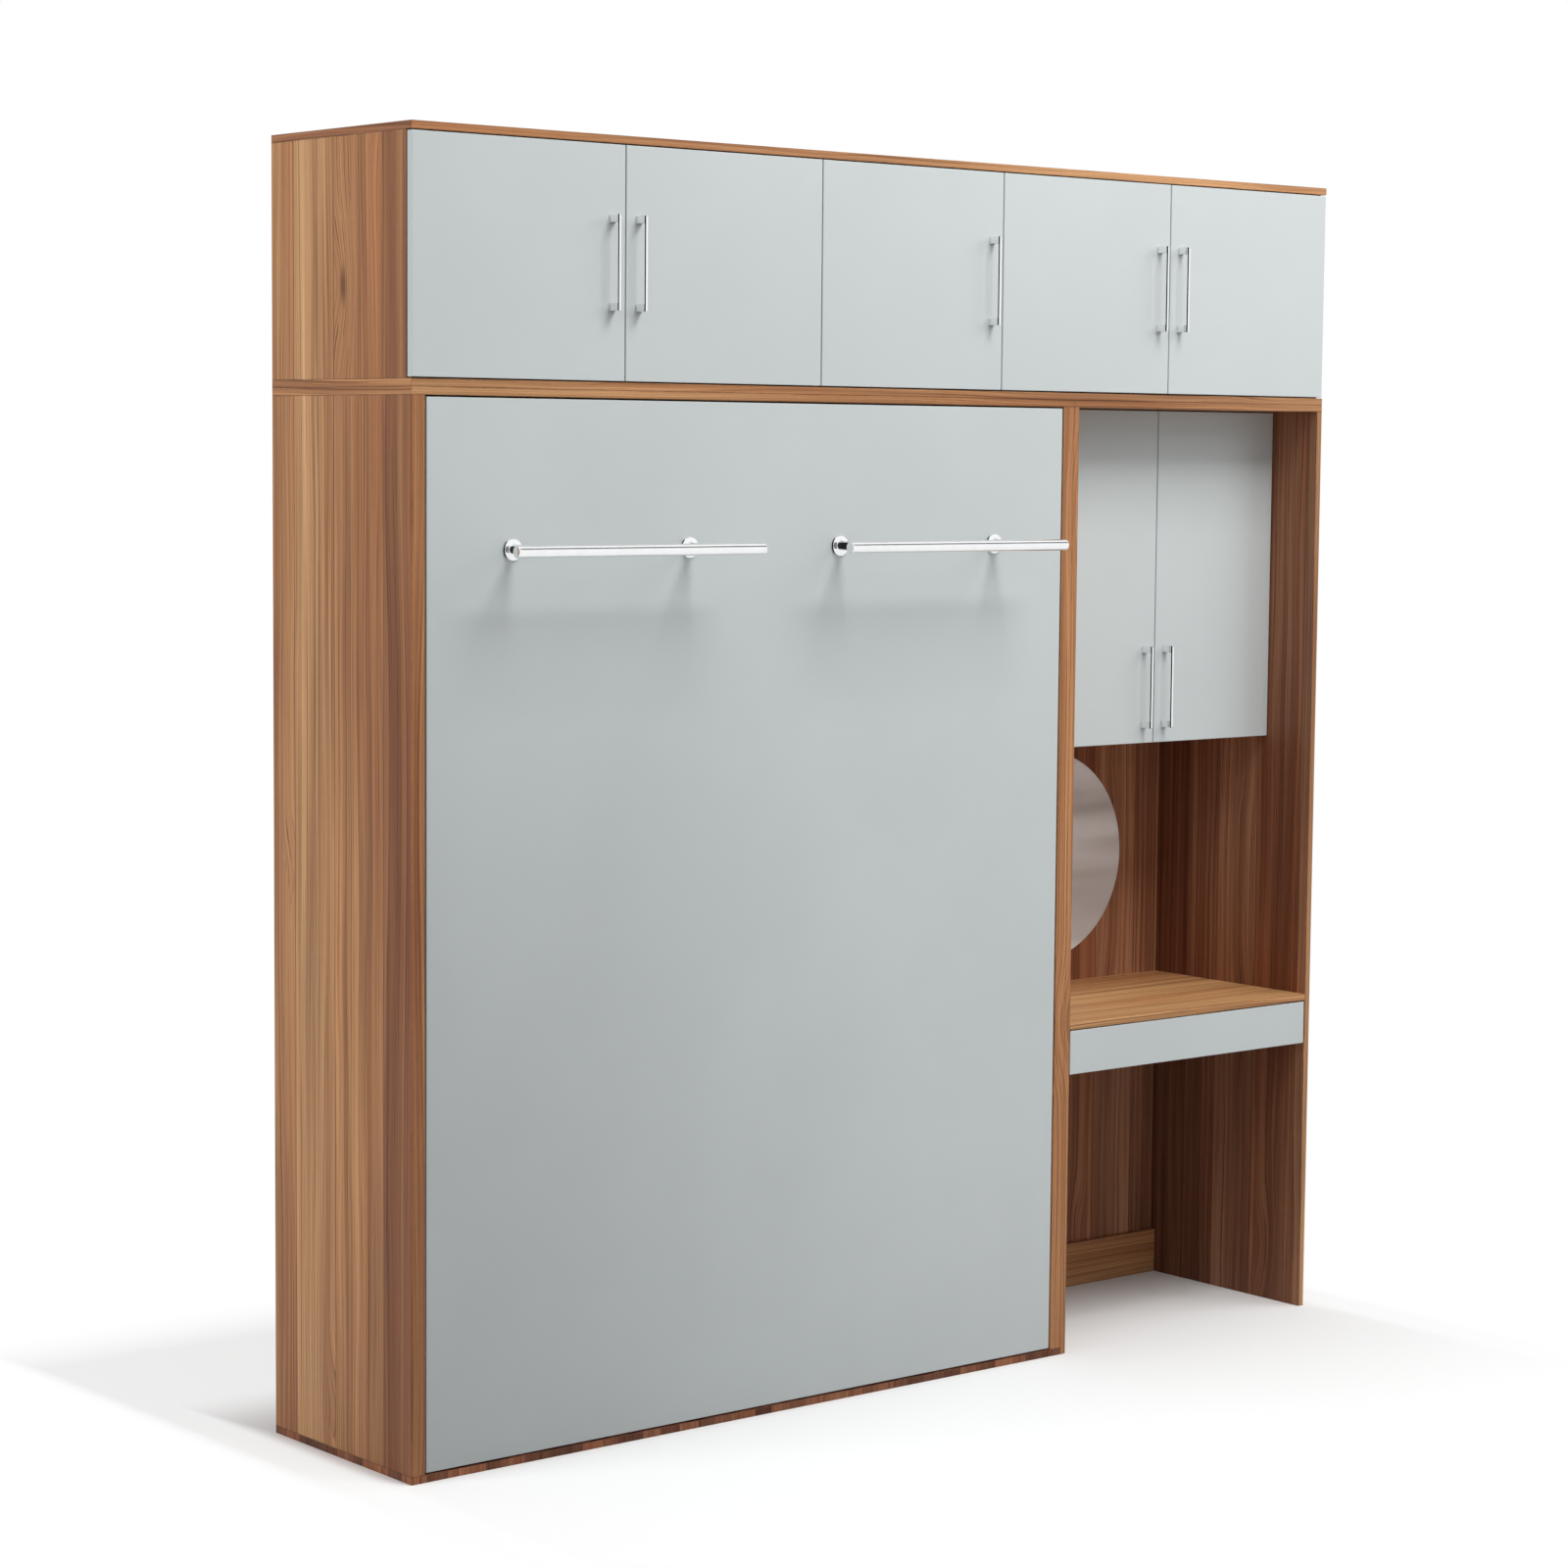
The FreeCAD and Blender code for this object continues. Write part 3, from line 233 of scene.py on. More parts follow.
@dataclass(frozen=True)
class Effect:
    """A shader node group that several finishes place, each with its own values."""

    name: str
    inputs: Sockets
    outputs: Sockets

    def tree(self) -> bpy.types.NodeTree:
        """Builds the group at its first use.

        Returns:
            The group's tree.
        """
        found = bpy.data.node_groups.get(self.name)
        if found:
            return found
        tree = bpy.data.node_groups.new(self.name, "ShaderNodeTree")
        add_sockets(tree, "INPUT", self.inputs)
        add_sockets(tree, "OUTPUT", self.outputs)
        wiring = Wiring(tree)
        given = wiring.add("NodeGroupInput").outputs
        wiring.fill(wiring.add("NodeGroupOutput").inputs, self.wire(wiring, given))
        return tree

    def wire(self, w: Wiring, given: bpy.types.NodeOutputs) -> dict[str, Socket]:
        """Adds the group's nodes; each effect has its own.

        Args:
            w: Works on the group's tree.
            given: The group's inputs.

        Returns:
            A socket for each named output.
        """
        raise NotImplementedError

    def place(self, w: Wiring, values: dict[str, object]) -> bpy.types.NodeOutputs:
        """Places the group in a material with its own values, and gives its outputs."""
        return w.put("ShaderNodeGroup", values, node_tree=self.tree()).node.outputs


@dataclass(frozen=True)
class Streak:
    """One stretched noise of the wood."""

    across: float
    along: float
    apart: float
    detail: float
    rough: float
    low: float
    high: float


# Scales across and along a stave, distance to other noises and detail of the plain noises.
DRIFT, SWAY, CLOUD = (3.2, 0.7, 0.0, 2.0), (14.0, 2.0, 5.0, 2.0), (5.0, 0.5, 12.0, 3.0)
STRAIGHT_STREAKS = {
    "fade": Streak(40, 1.0, 4.0, 3.0, 0.6, 0.45, 0.6),
    "pores": Streak(900, 26, 8.0, 1.0, 0.5, 0.6, 0.74),
    "redness": Streak(17, 0.5, 20.0, 2.0, 0.5, 0.46, 0.66),
}
BENT_STREAKS = {
    "grain": Streak(70, 0.7, 16.0, 5.0, 0.72, 0.38, 0.68),
    "fibres": Streak(260, 2.0, 0.0, 5.0, 0.65, 0.3, 0.7),
    "streaks": Streak(15, 0.3, 4.0, 4.0, 0.65, 0.5, 0.66),
}
# Each mask in the order in which it stains the wood, with its share and its tint.
STAINS = (
    ("redness", 0.5, (0.92, 0.72, 0.62, 1)),
    ("hue", 0.6, (1.0, 0.87, 0.77, 1)),
    ("fine", 0.35, (0.5, 0.41, 0.35, 1)),
    ("grain", 0.6, (0.5, 0.4, 0.34, 1)),
    ("fibres", 0.5, (0.62, 0.56, 0.52, 1)),
    ("streaks", 0.6, (0.46, 0.34, 0.28, 1)),
    ("ring", 0.9, (0.32, 0.23, 0.18, 1)),
    ("hairs", 0.45, (0.5, 0.41, 0.35, 1)),
    ("pores", 0.25, (0.35, 0.28, 0.25, 1)),
    ("knot", 0.85, (0.2, 0.13, 0.10, 1)),
    ("line", 0.85, (0.28, 0.2, 0.16, 1)),
)


@dataclass(frozen=True)
class StaveGrain(Effect):
    """Boards glued from staves, with rings, dark streaks, pores and a few long knots."""

    name: str = "stave grain"
    inputs: Sockets = (
        ("Vector", "Vector"), ("Stave Width", "Float"), ("Dark", "Color"), ("Light", "Color"),
        ("Knots", "Float"), ("Tone Change", "Float"),
    )
    outputs: Sockets = (("Color", "Color"), ("Height", "Float"))

    def wire(self, w: Wiring, given: bpy.types.NodeOutputs) -> dict[str, Socket]:
        """Adds the nodes of the wood; x runs across the staves and y along them.

        Args:
            w: Works on the group's tree.
            given: The group's inputs.

        Returns:
            The colour and the height.
        """
        across, along, depth = w.separate(given["Vector"])
        colour, joint = w.cells(w.math("DIVIDE", across, given["Stave Width"]), 0.9)
        tone, hue, _ = w.separate(colour)
        seed = w.times(tone, 31.0)

        def stretched(x: float, y: float, more: float = 0.0, side: Socket = across) -> Socket:
            """Gives the place on the board, scaled across and along, apart for each stave."""
            shifted = w.plus(seed, w.times_plus(depth, 9.0, more))
            return w.combine(w.times(side, x), w.times(along, y), shifted)

        def mask(streak: Streak, side: Socket) -> Socket:
            """Gives where a stretched noise shows."""
            place = stretched(streak.across, streak.along, streak.apart, side)
            return w.spread(w.noise(place, 1.0, streak.detail, streak.rough), streak.low, streak.high)

        def bands(count: float, more: float) -> tuple[Socket, Socket]:
            """Gives the shade of each growth band and how near the line between two bands is."""
            shade, end = w.cells(w.times_plus(bent, count, w.times_plus(depth, 17.0, w.plus(seed, more))), 1.0)
            return w.separate(shade)[0], end

        drift, sway, cloud = (w.noise(stretched(x, y, z), 1.0, fine, 0.5) for x, y, z, fine in (DRIFT, SWAY, CLOUD))
        bow = w.times(drift, 0.5)
        spots = w.vector("ADD", stretched(6.5, 1.9), w.combine(bow, bow, 0.0))
        near = w.put("ShaderNodeTexVoronoi", {"Vector": spots, "Scale": 1.0}, 0, voronoi_dimensions="3D")
        luck = w.separate(near.node.outputs["Color"])[0]
        chance = w.times(w.spread(luck, 0.62, 0.7), given["Knots"])
        swirl = w.times(w.spread(near, 0.0, 0.42, 1.0, 0.0), chance)
        bent = across
        for push, reach in ((drift, 0.06), (sway, 0.005), (swirl, 0.034)):
            bent = w.times_plus(push, reach, bent)
        masks = {name: mask(streak, across) for name, streak in STRAIGHT_STREAKS.items()}
        masks.update({name: mask(streak, bent) for name, streak in BENT_STREAKS.items()})
        wide, wide_end = bands(48.0, 0.0)
        masks["fine"], fine_end = bands(190.0, 3.0)
        masks["hue"] = w.spread(hue, 0.3, 0.8)
        masks["ring"] = w.times(w.spread(wide_end, 0.0, 0.11, 1.0, 0.0), masks["fade"])
        masks["hairs"] = w.spread(fine_end, 0.0, 0.25, 1.0, 0.0)
        masks["knot"] = w.times(w.spread(near, 0.03, 0.12, 1.0, 0.0), chance)
        masks["line"] = w.spread(joint, 0.0, 0.016, 1.0, 0.0)
        step = w.times(w.math("SUBTRACT", tone, 0.5), w.times(given["Tone Change"], 0.7))
        base = w.times_plus(cloud, 1.1, w.plus(step, -0.14))
        base = w.times_plus(wide, 0.16, base)
        wood = w.mix(w.spread(base, -0.1, 0.95), given["Dark"], given["Light"])
        for name, share, tint in STAINS:
            wood = w.mix(w.times(masks[name], share), wood, tint, "MULTIPLY")
        low = w.times_plus(masks["line"], 0.4, w.times_plus(masks["pores"], 0.4, w.times(masks["ring"], 0.3)))
        return {"Color": wood, "Height": w.math("SUBTRACT", w.times(masks["fibres"], -0.3), low)}


@dataclass(frozen=True)
class Smudges(Effect):
    """Roughness with the uneven wipe marks and dust of a surface that is in use."""

    name: str = "smudges"
    inputs: Sockets = (("Vector", "Vector"), ("Level", "Float"), ("Change", "Float"))
    outputs: Sockets = (("Roughness", "Float"),)

    def wire(self, w: Wiring, given: bpy.types.NodeOutputs) -> dict[str, Socket]:
        """Mixes broad marks with fine ones.

        Args:
            w: Works on the group's tree.
            given: The group's inputs.

        Returns:
            The roughness.
        """
        broad = w.noise(given["Vector"], 5.0, 4.0, 0.6)
        fine = w.noise(given["Vector"], 60.0, 3.0, 0.6)
        marks = w.times_plus(fine, 0.4, w.times(broad, 0.6))
        change = w.times(w.math("SUBTRACT", marks, 0.5), w.times(given["Change"], 4.0))
        return {"Roughness": w.math("ADD", change, given["Level"], clamp=True)}


@dataclass(frozen=True)
class FineSkin(Effect):
    """The small bumps of lacquer, powder paint or moulded plastic."""

    name: str = "fine skin"
    inputs: Sockets = (("Vector", "Vector"), ("Size", "Float"))
    outputs: Sockets = (("Height", "Float"), ("Speck", "Float"))

    def wire(self, w: Wiring, given: bpy.types.NodeOutputs) -> dict[str, Socket]:
        """Reads two noises at the size of the bumps.

        Args:
            w: Works on the group's tree.
            given: The group's inputs.

        Returns:
            The height of the bumps and a mask of specks.
        """
        scale = w.math("DIVIDE", 1.0, given["Size"])
        height = w.noise(given["Vector"], scale, 2.0, 0.5)
        speck = w.noise(given["Vector"], w.times(scale, 0.4), 3.0, 0.7)
        return {"Height": height, "Speck": w.spread(speck, 0.35, 0.65)}


@dataclass(frozen=True)
class EdgeWear(Effect):
    """Where edges are rubbed: a patchy mask along them."""

    name: str = "edge wear"
    inputs: Sockets = (("Vector", "Vector"), ("Width", "Float"))
    outputs: Sockets = (("Mask", "Float"),)

    def wire(self, w: Wiring, given: bpy.types.NodeOutputs) -> dict[str, Socket]:
        """Compares the surface's direction with one that is rounded at the edges.

        Args:
            w: Works on the group's tree.
            given: The group's inputs.

        Returns:
            The mask.
        """
        rounded = w.put("ShaderNodeBevel", {"Radius": given["Width"]}, samples=4)
        straight = w.put("ShaderNodeNewGeometry", {}, 1)
        same = w.vector("DOT_PRODUCT", rounded, straight, output=1)
        edge = w.spread(same, 0.8, 0.99, 1.0, 0.0)
        patchy = w.spread(w.noise(given["Vector"], 45.0, 3.0, 0.6), 0.35, 0.65, 0.35, 1.0)
        return {"Mask": w.times(edge, patchy)}


@dataclass(frozen=True)
class Weave(Effect):
    """A plain weave of threads along x and y of the given vector."""

    name: str = "weave"
    inputs: Sockets = (("Vector", "Vector"), ("Thread", "Float"))
    outputs: Sockets = (("Height", "Float"), ("Gap", "Float"), ("Fuzz", "Float"))

    def wire(self, w: Wiring, given: bpy.types.NodeOutputs) -> dict[str, Socket]:
        """Crosses two rows of round threads that go over and under each other.

        Args:
            w: Works on the group's tree.
            given: The group's inputs.

        Returns:
            The height of the threads, the gaps between them and their fuzz.
        """
        first, second, _ = w.separate(given["Vector"])
        step = w.math("DIVIDE", math.pi, given["Thread"])
        warp = w.math("SINE", w.times(first, step))
        weft = w.math("SINE", w.times(second, step))
        top = w.largest(w.math("ABSOLUTE", warp), w.math("ABSOLUTE", weft))
        height = w.times_plus(w.times(warp, weft), 0.3, w.times(top, 0.7))
        fuzz = w.noise(given["Vector"], w.math("DIVIDE", 2.0, given["Thread"]), 2.0, 0.6)
        return {"Height": height, "Gap": w.spread(top, 0.25, 0.6, 1.0, 0.0), "Fuzz": fuzz}


STAVES = StaveGrain()
SMUDGES = Smudges()
SKIN = FineSkin()
WEAR = EdgeWear()
WEAVE = Weave()


class Grain(Enum):
    """Which way the staves of a board run."""

    UPRIGHT = "upright"
    SIDEWAYS = "sideways"
    FORWARD = "forward"


class Coat(Enum):
    """How a metal surface is finished, with or without painted shade and reflection on its sides."""

    POLISHED = "polished"
    # Painted shade and reflection: dark sides on a handle's grip and dark undersides on its posts.
    PAINTED_SHADE_SIDES = "polished, with darker sides"
    # Painted shade and reflection: dark sides on a bar's posts and flanges, behind its grip.
    PAINTED_SHADE_POSTS = "polished, with darker sides behind the grip"
    ZINC = "zinc"


@dataclass(frozen=True)
class Finish:
    """How one kind of surface looks, and the material slot of the record that it stands for."""

    name: str
    slot: str

    def material(self) -> bpy.types.Material:
        """Builds the material at its first use.

        Returns:
            The material.
        """
        found = bpy.data.materials.get(self.name)
        if found:
            return found
        made = bpy.data.materials.new(self.name)
        made.use_nodes = True
        wiring = Wiring(made.node_tree)
        shader = made.node_tree.nodes["Principled BSDF"]
        place = wiring.add("ShaderNodeTexCoord").outputs["Object"]
        wiring.fill(shader.inputs, self.paint(wiring, place))
        return made

    def paint(self, w: Wiring, place: Socket) -> dict[str, object]:
        """Adds the nodes of the finish; each kind has its own.

        Args:
            w: Works on the material's tree.
            place: The place on the piece, in metres.

        Returns:
            Values or sockets by the name of the shader's input.
        """
        raise NotImplementedError

    def gloss(self, w: Wiring, place: Socket, level: float, change: float) -> Socket:
        """Gives a roughness around a level, with wipe marks."""
        return SMUDGES.place(w, {"Vector": place, "Level": level, "Change": change})["Roughness"]

    def worn(self, w: Wiring, place: Socket, width: float) -> Socket:
        """Gives the mask of rubbed edges of a width."""
        return WEAR.place(w, {"Vector": place, "Width": width})["Mask"]


@dataclass(frozen=True)
class StavedWood(Finish):
    """Laminated board with a walnut look; wrap carries the staves around a board's long edge, and shade is painted
    shade on faces that look left.
    """

    grain: Grain = Grain.UPRIGHT
    dark: Colour = painted(142, 90, 62)
    light: Colour = painted(240, 190, 138)
    stave: float = 0.14
    change: float = 1.0
    band: float = 0.15
    shift: float = 0.0
    knots: float = 1.0
    sheen: float = 0.46
    wrap: float = 1.013
    joint: Colour = painted(58, 34, 24)
    # Tint of painted shade on faces that look left, or None.
    shade: Colour | None = None

    def paint(self, w: Wiring, place: Socket) -> dict[str, object]:
        """Turns the place along the grain and reads the wood there.

        Args:
            w: Works on the material's tree.
            place: The place on the piece, in metres.

        Returns:
            The shader's inputs by their names.
        """
        x, y, z = w.separate(place)
        sideways, forward, upward = w.directions()
        if self.grain is Grain.SIDEWAYS:
            turned_place = w.combine(w.times_plus(z, self.wrap, y), x, 0.0)
            change = self.change
            ends = w.combine(w.times(z, self.wrap), y, 0.3)
            turned_place = w.mix(w.facing(sideways), turned_place, ends)
        else:
            turned_place = w.combine(w.times_plus(y, self.wrap, x), z, 0.0)
            change = w.times_plus(w.facing(forward), self.change * (self.band - 1.0), self.change)
        if self.grain is Grain.FORWARD:
            turned_place = w.mix(w.facing(upward), turned_place, w.combine(x, y, 0.0))
        wood = STAVES.place(w, {
            "Vector": w.vector("ADD", turned_place, w.combine(self.shift, 0.0, 0.0)),
            "Stave Width": self.stave,
            "Dark": self.dark,
            "Light": self.light,
            "Knots": self.knots,
            "Tone Change": change,
        })
        colour = wood["Color"]
        # Painted shade: faces that look left are darkened by the shade tint.
        if self.shade:
            colour = w.mix(w.spread(sideways, -0.6, -0.8), colour, self.shade, "MULTIPLY")
        return {
            "Base Color": w.mix(w.times(self.worn(w, place, 3.6 * MM), 0.85), colour, self.joint),
            "Roughness": self.gloss(w, place, self.sheen, 0.06),
            "Specular IOR Level": 0.22,
            "Normal": w.bump(wood["Height"], 0.35, 0.3 * MM),
        }


@dataclass(frozen=True)
class SkinnedCoat(Finish):
    """A coloured coat with a fine skin: smooth laminate, powder paint or moulded plastic."""

    colour: Colour = painted(203, 209, 209)
    cloud: float = 1.0
    skin: float = 1.2 * MM
    specks: float = 0.018
    speck: Colour = (0.3, 0.32, 0.33, 1)
    rubs: float = 0.0
    rubbed: Colour = (0.78, 0.8, 0.8, 1)
    rub_width: float = 1.5 * MM
    sheen: float = 0.4
    marks: float = 0.07
    relief: float = 0.5
    depth: float = 0.1 * MM

    def paint(self, w: Wiring, place: Socket) -> dict[str, object]:
        """Varies the colour slightly, gives it a fine skin and rubs its edges.

        Args:
            w: Works on the material's tree.
            place: The place on the piece, in metres.

        Returns:
            The shader's inputs by their names.
        """
        skin = SKIN.place(w, {"Vector": place, "Size": self.skin})
        colour = self.colour
        if self.cloud < 1.0:
            clouds = w.spread(w.noise(place, 2.6, 3.0, 0.5), 0.3, 0.7)
            colour = w.mix(clouds, colour, dimmed(self.colour, self.cloud))
        colour = w.mix(w.times(skin["Speck"], self.specks), colour, self.speck)
        if self.rubs > 0.0:
            colour = w.mix(w.times(self.worn(w, place, self.rub_width), self.rubs), colour, self.rubbed)
        return {
            "Base Color": colour,
            "Roughness": self.gloss(w, place, self.sheen, self.marks),
            "Normal": w.bump(skin["Height"], self.relief, self.depth),
        }


@dataclass(frozen=True)
class BareMetal(Finish):
    """Polished chrome, or steel with a zinc coat; grip is the depth at which the painted shade and reflection on a
    bow's sides end.
    """

    colour: Colour = painted(248, 249, 250)
    # Colour of the painted shade and reflection on the sides of bows.
    side: Colour = painted(34, 36, 38)
    coat: Coat = Coat.POLISHED
    sheen: float = 0.035
    grip: float = 0.0

    def paint(self, w: Wiring, place: Socket) -> dict[str, object]:
        """Gives the metal smudges, zinc its cloudy flakes and thin bows painted shade and reflection on their sides.

        Args:
            w: Works on the material's tree.
            place: The place on the piece, in metres.

        Returns:
            The shader's inputs by their names.
        """
        zinc = self.coat is Coat.ZINC
        if zinc:
            flakes = w.put("ShaderNodeTexVoronoi", {"Vector": place, "Scale": 420.0}, 1)
            patches = w.separate(flakes)[0]
        else:
            patches = w.spread(w.noise(place, 38.0, 3.0, 0.6), 0.35, 0.7)
        colour = w.mix(w.times(patches, 0.6), self.colour, dimmed(self.colour, 0.7 if zinc else 0.95))
        # Painted shade and reflection: faces that look left or right darken in front of grip on a handle and behind it
        # on a bar's posts; a handle's undersides darken too.
        if self.coat in (Coat.PAINTED_SHADE_SIDES, Coat.PAINTED_SHADE_POSTS):
            sideways, _, upward = w.directions()
            compare, start = ("LESS_THAN", 0.75) if self.coat is Coat.PAINTED_SHADE_SIDES else ("GREATER_THAN", 0.55)
            there = w.math(compare, w.separate(place)[1], self.grip)
            dark = w.times(w.facing(sideways, start, start + 0.2), there)
            if self.coat is Coat.PAINTED_SHADE_SIDES:
                dark = w.largest(dark, w.spread(upward, -0.75, -0.95))
            colour = w.mix(dark, colour, self.side)
        return {
            "Base Color": colour,
            "Metallic": 1.0 if zinc else 0.85,
            "Roughness": self.gloss(w, place, self.sheen, self.sheen * 0.5),
            "Normal": w.bump(w.noise(place, 500.0, 2.0, 0.5), 0.06 if zinc else 0.008, 0.05 * MM),
        }


@dataclass(frozen=True)
class SilveredGlass(Finish):
    """Mirror glass with a pale warm cast that stands in for a painted reflection, soft broad bands of painted
    reflection and a few wipe marks.
    """

    # The pale colour stands in for a painted reflection of a pale room; glow is a painted glow in the bands.
    colour: Colour = painted(247, 249, 250)
    glow: Colour = (0.105, 0.1, 0.097, 1.0)

    def paint(self, w: Wiring, place: Socket) -> dict[str, object]:
        """Gives the glass its cast, bands of painted reflection with a painted glow in them, and its marks.

        Args:
            w: Works on the material's tree.
            place: The place on the piece, in metres.

        Returns:
            The shader's inputs by their names.
        """
        x, _, z = w.separate(place)
        haze = w.spread(w.noise(place, 3.5, 4.0, 0.55), 0.3, 0.75)
        # Painted reflection: broad level bands darken the pale colour, and a painted glow lights them.
        level = w.combine(w.times(x, 0.8), 0.0, w.times(z, 9.0))
        band = w.spread(w.noise(level, 1.0, 2.0, 0.4), 0.38, 0.62)
        shade = w.times_plus(haze, 0.25, w.times(band, 0.75))
        return {
            "Base Color": w.mix(shade, self.colour, dimmed(self.colour, 0.82)),
            "Metallic": 0.04,
            "Emission Color": w.mix(band, self.glow, (0.0, 0.0, 0.0, 1.0)),
            "Emission Strength": 1.0,
            "Roughness": self.gloss(w, place, 0.07, 0.03),
            "Coat Weight": 0.3,
            "Coat Roughness": 0.03,
            "Normal": w.bump(w.noise(place, 2.0, 1.0, 0.4), 0.02, 0.2 * MM),
        }


@dataclass(frozen=True)
class WovenCloth(Finish):
    """Flat webbing with coarse ribs, or, as a knit, mattress ticking with a fine relief."""

    colour: Colour = painted(58, 60, 64)
    gap: Colour = painted(24, 24, 26)
    tint: Colour = painted(86, 88, 92)
    gaps: float = 0.7
    tints: float = 0.3
    thread: float = 2.2 * MM
    rough: tuple[float, float] = (0.6, 0.85)
    sheen: float = 0.15
    relief: float = 0.8
    depth: float = 0.6 * MM
    knit: bool = False

    def paint(self, w: Wiring, place: Socket) -> dict[str, object]:
        """Weaves threads along and across, darker in their gaps and paler where they are fuzzy or cloudy.

        Args:
            w: Works on the material's tree.
            place: The place on the piece, in metres.

        Returns:
            The shader's inputs by their names.
        """
        x, y, z = w.separate(place)
        flat = w.combine(w.plus(x, y), w.times_plus(y, 0.7, z) if self.knit else z, 0.0)
        woven = WEAVE.place(w, {"Vector": flat, "Thread": self.thread})
        height, tint = woven["Height"], woven["Fuzz"]
        if self.knit:
            height = w.times_plus(woven["Fuzz"], 0.5, height)
            tint = w.spread(w.noise(place, 6.0, 3.0, 0.55), 0.3, 0.7)
        colour = w.mix(w.times(woven["Gap"], self.gaps), self.colour, self.gap)
        return {
            "Base Color": w.mix(w.times(tint, self.tints), colour, self.tint),
            "Roughness": w.spread(woven["Fuzz"], 0.2, 0.8, *self.rough),
            "Sheen Weight": self.sheen,
            "Normal": w.bump(height, self.relief, self.depth),
        }


@dataclass(frozen=True)
class BirchPly(Finish):
    """Bent birch slats, with their layers showing on the long edges."""

    stave: float = 0.1455
    layer: float = 1.3 * MM

    def paint(self, w: Wiring, place: Socket) -> dict[str, object]:
        """Reads fine grain on the faces and dark glue lines on the edges.

        Args:
            w: Works on the material's tree.
            place: The place on the piece, in metres.

        Returns:
            The shader's inputs by their names.
        """
        x, y, z = w.separate(place)
        wood = STAVES.place(w, {
            "Vector": w.combine(z, w.times(x, 0.8), 0.0),
            "Stave Width": self.stave,
            "Dark": painted(190, 154, 108),
            "Light": painted(226, 198, 156),
            "Knots": 0.0,
            "Tone Change": 1.0,
        })
        sheets = w.math("SINE", w.times(y, math.tau / self.layer))
        glue = w.times(w.spread(sheets, 0.2, 0.8), w.facing(w.directions()[2], 0.5))
        return {
            "Base Color": w.mix(w.times(glue, 0.5), wood["Color"], painted(120, 82, 50)),
            "Roughness": self.gloss(w, place, 0.45, 0.08),
            "Normal": w.bump(wood["Height"], 0.3, 0.2 * MM),
        }


WALNUT_UPRIGHT = StavedWood("walnut upright", "walnut_board", shift=0.1)
# The niche's right board, with painted shade on its inner face, which looks left.
WALNUT_NICHE_PAINTED_SHADE = replace(WALNUT_UPRIGHT, name="walnut niche with painted shade", shift=0.13, shade=(0.74, 0.69, 0.84, 1.0))
WALNUT_SIDEWAYS = StavedWood("walnut sideways", "walnut_board", Grain.SIDEWAYS, change=0.3)
WALNUT_TOP = replace(WALNUT_SIDEWAYS, name="walnut top", dark=painted(160, 104, 72), change=0.2, shift=0.12)
# The desktop's lighter walnut: partly the board's own paler tone, partly painted light for the light that falls on its
# top.
WALNUT_DESK = replace(
    WALNUT_SIDEWAYS, name="walnut desk", dark=painted(208, 132, 84), light=painted(255, 214, 154), change=0.6,
    shift=0.09,
)
WALNUT_BASE = StavedWood(
    "walnut base", "walnut_board", Grain.FORWARD, painted(100, 62, 46), painted(190, 132, 98), stave=0.05, band=1.0,
    knots=0.0,
)
WALNUT_INNER = StavedWood(
    "walnut back", "walnut_inner", dark=painted(134, 85, 66), light=painted(236, 180, 142), sheen=0.5, band=1.0
)
GREY_FRONT = SkinnedCoat("grey front", "grey_front", cloud=0.965, rubs=0.3, relief=0.25)
GREY_BOARD = replace(
    GREY_FRONT, name="grey drawer board", slot="drawer_board", colour=painted(190, 192, 190), sheen=0.5
)
BLACK_STEEL = SkinnedCoat(
    "black frame steel", "frame_steel", painted(44, 45, 48), skin=0.9 * MM, specks=0.35, speck=painted(62, 63, 66),
    rubs=0.35, rubbed=painted(120, 121, 124), rub_width=1 * MM, sheen=0.5, marks=0.08,
)
NYLON = SkinnedCoat(
    "black nylon", "black_plastic", painted(38, 38, 40), skin=0.6 * MM, specks=0.3, speck=painted(58, 58, 60),
    sheen=0.45, marks=0.1, depth=0.08 * MM,
)
CHROME = BareMetal("polished chrome", "chrome")
ZINC = BareMetal("zinc steel", "zinc_steel", painted(196, 198, 200), coat=Coat.ZINC, sheen=0.34)
MIRROR = SilveredGlass("silvered glass", "mirror_glass")
TICKING = WovenCloth(
    "mattress ticking", "mattress_cloth", painted(226, 223, 215), painted(178, 172, 160), painted(214, 208, 196),
    gaps=0.25, tints=0.25, thread=1.6 * MM, rough=(0.8, 0.95), sheen=0.25, relief=0.45, depth=0.4 * MM, knit=True,
)
WEBBING = WovenCloth("strap webbing", "webbing")
PIPING = replace(WEBBING, name="mattress piping", slot="mattress_cloth", colour=painted(120, 122, 124))
THREAD = replace(WEBBING, name="sewing thread", colour=painted(170, 172, 174))
BIRCH = BirchPly("birch slats", "slat_wood")

BODIES = frame["record"]["behaviour"]["bodies"]
BODY_OF = {node: body for body, members in BODIES.items() for node in members}


def new_piece(name: str, data: bpy.types.ID) -> bpy.types.Object:
    """Puts a mesh, a lamp or a camera into the scene as an object at the origin.

    Args:
        name: The object's name.
        data: What it holds.

    Returns:
        The new object.
    """
    piece = bpy.data.objects.new(name, data)
    bpy.context.scene.collection.objects.link(piece)
    return piece


def evaluated(piece: bpy.types.Object) -> bpy.types.Mesh:
    """Gives what the modifiers make of a piece, as a plain mesh."""
    graph = bpy.context.evaluated_depsgraph_get()
    return bpy.data.meshes.new_from_object(piece.evaluated_get(graph), depsgraph=graph)


def shaded(mesh: bpy.types.Mesh, angle: float) -> None:
    """Shades a mesh smoothly up to an angle in degrees."""
    mesh.shade_smooth()
    mesh.set_sharp_from_angle(angle=math.radians(angle))


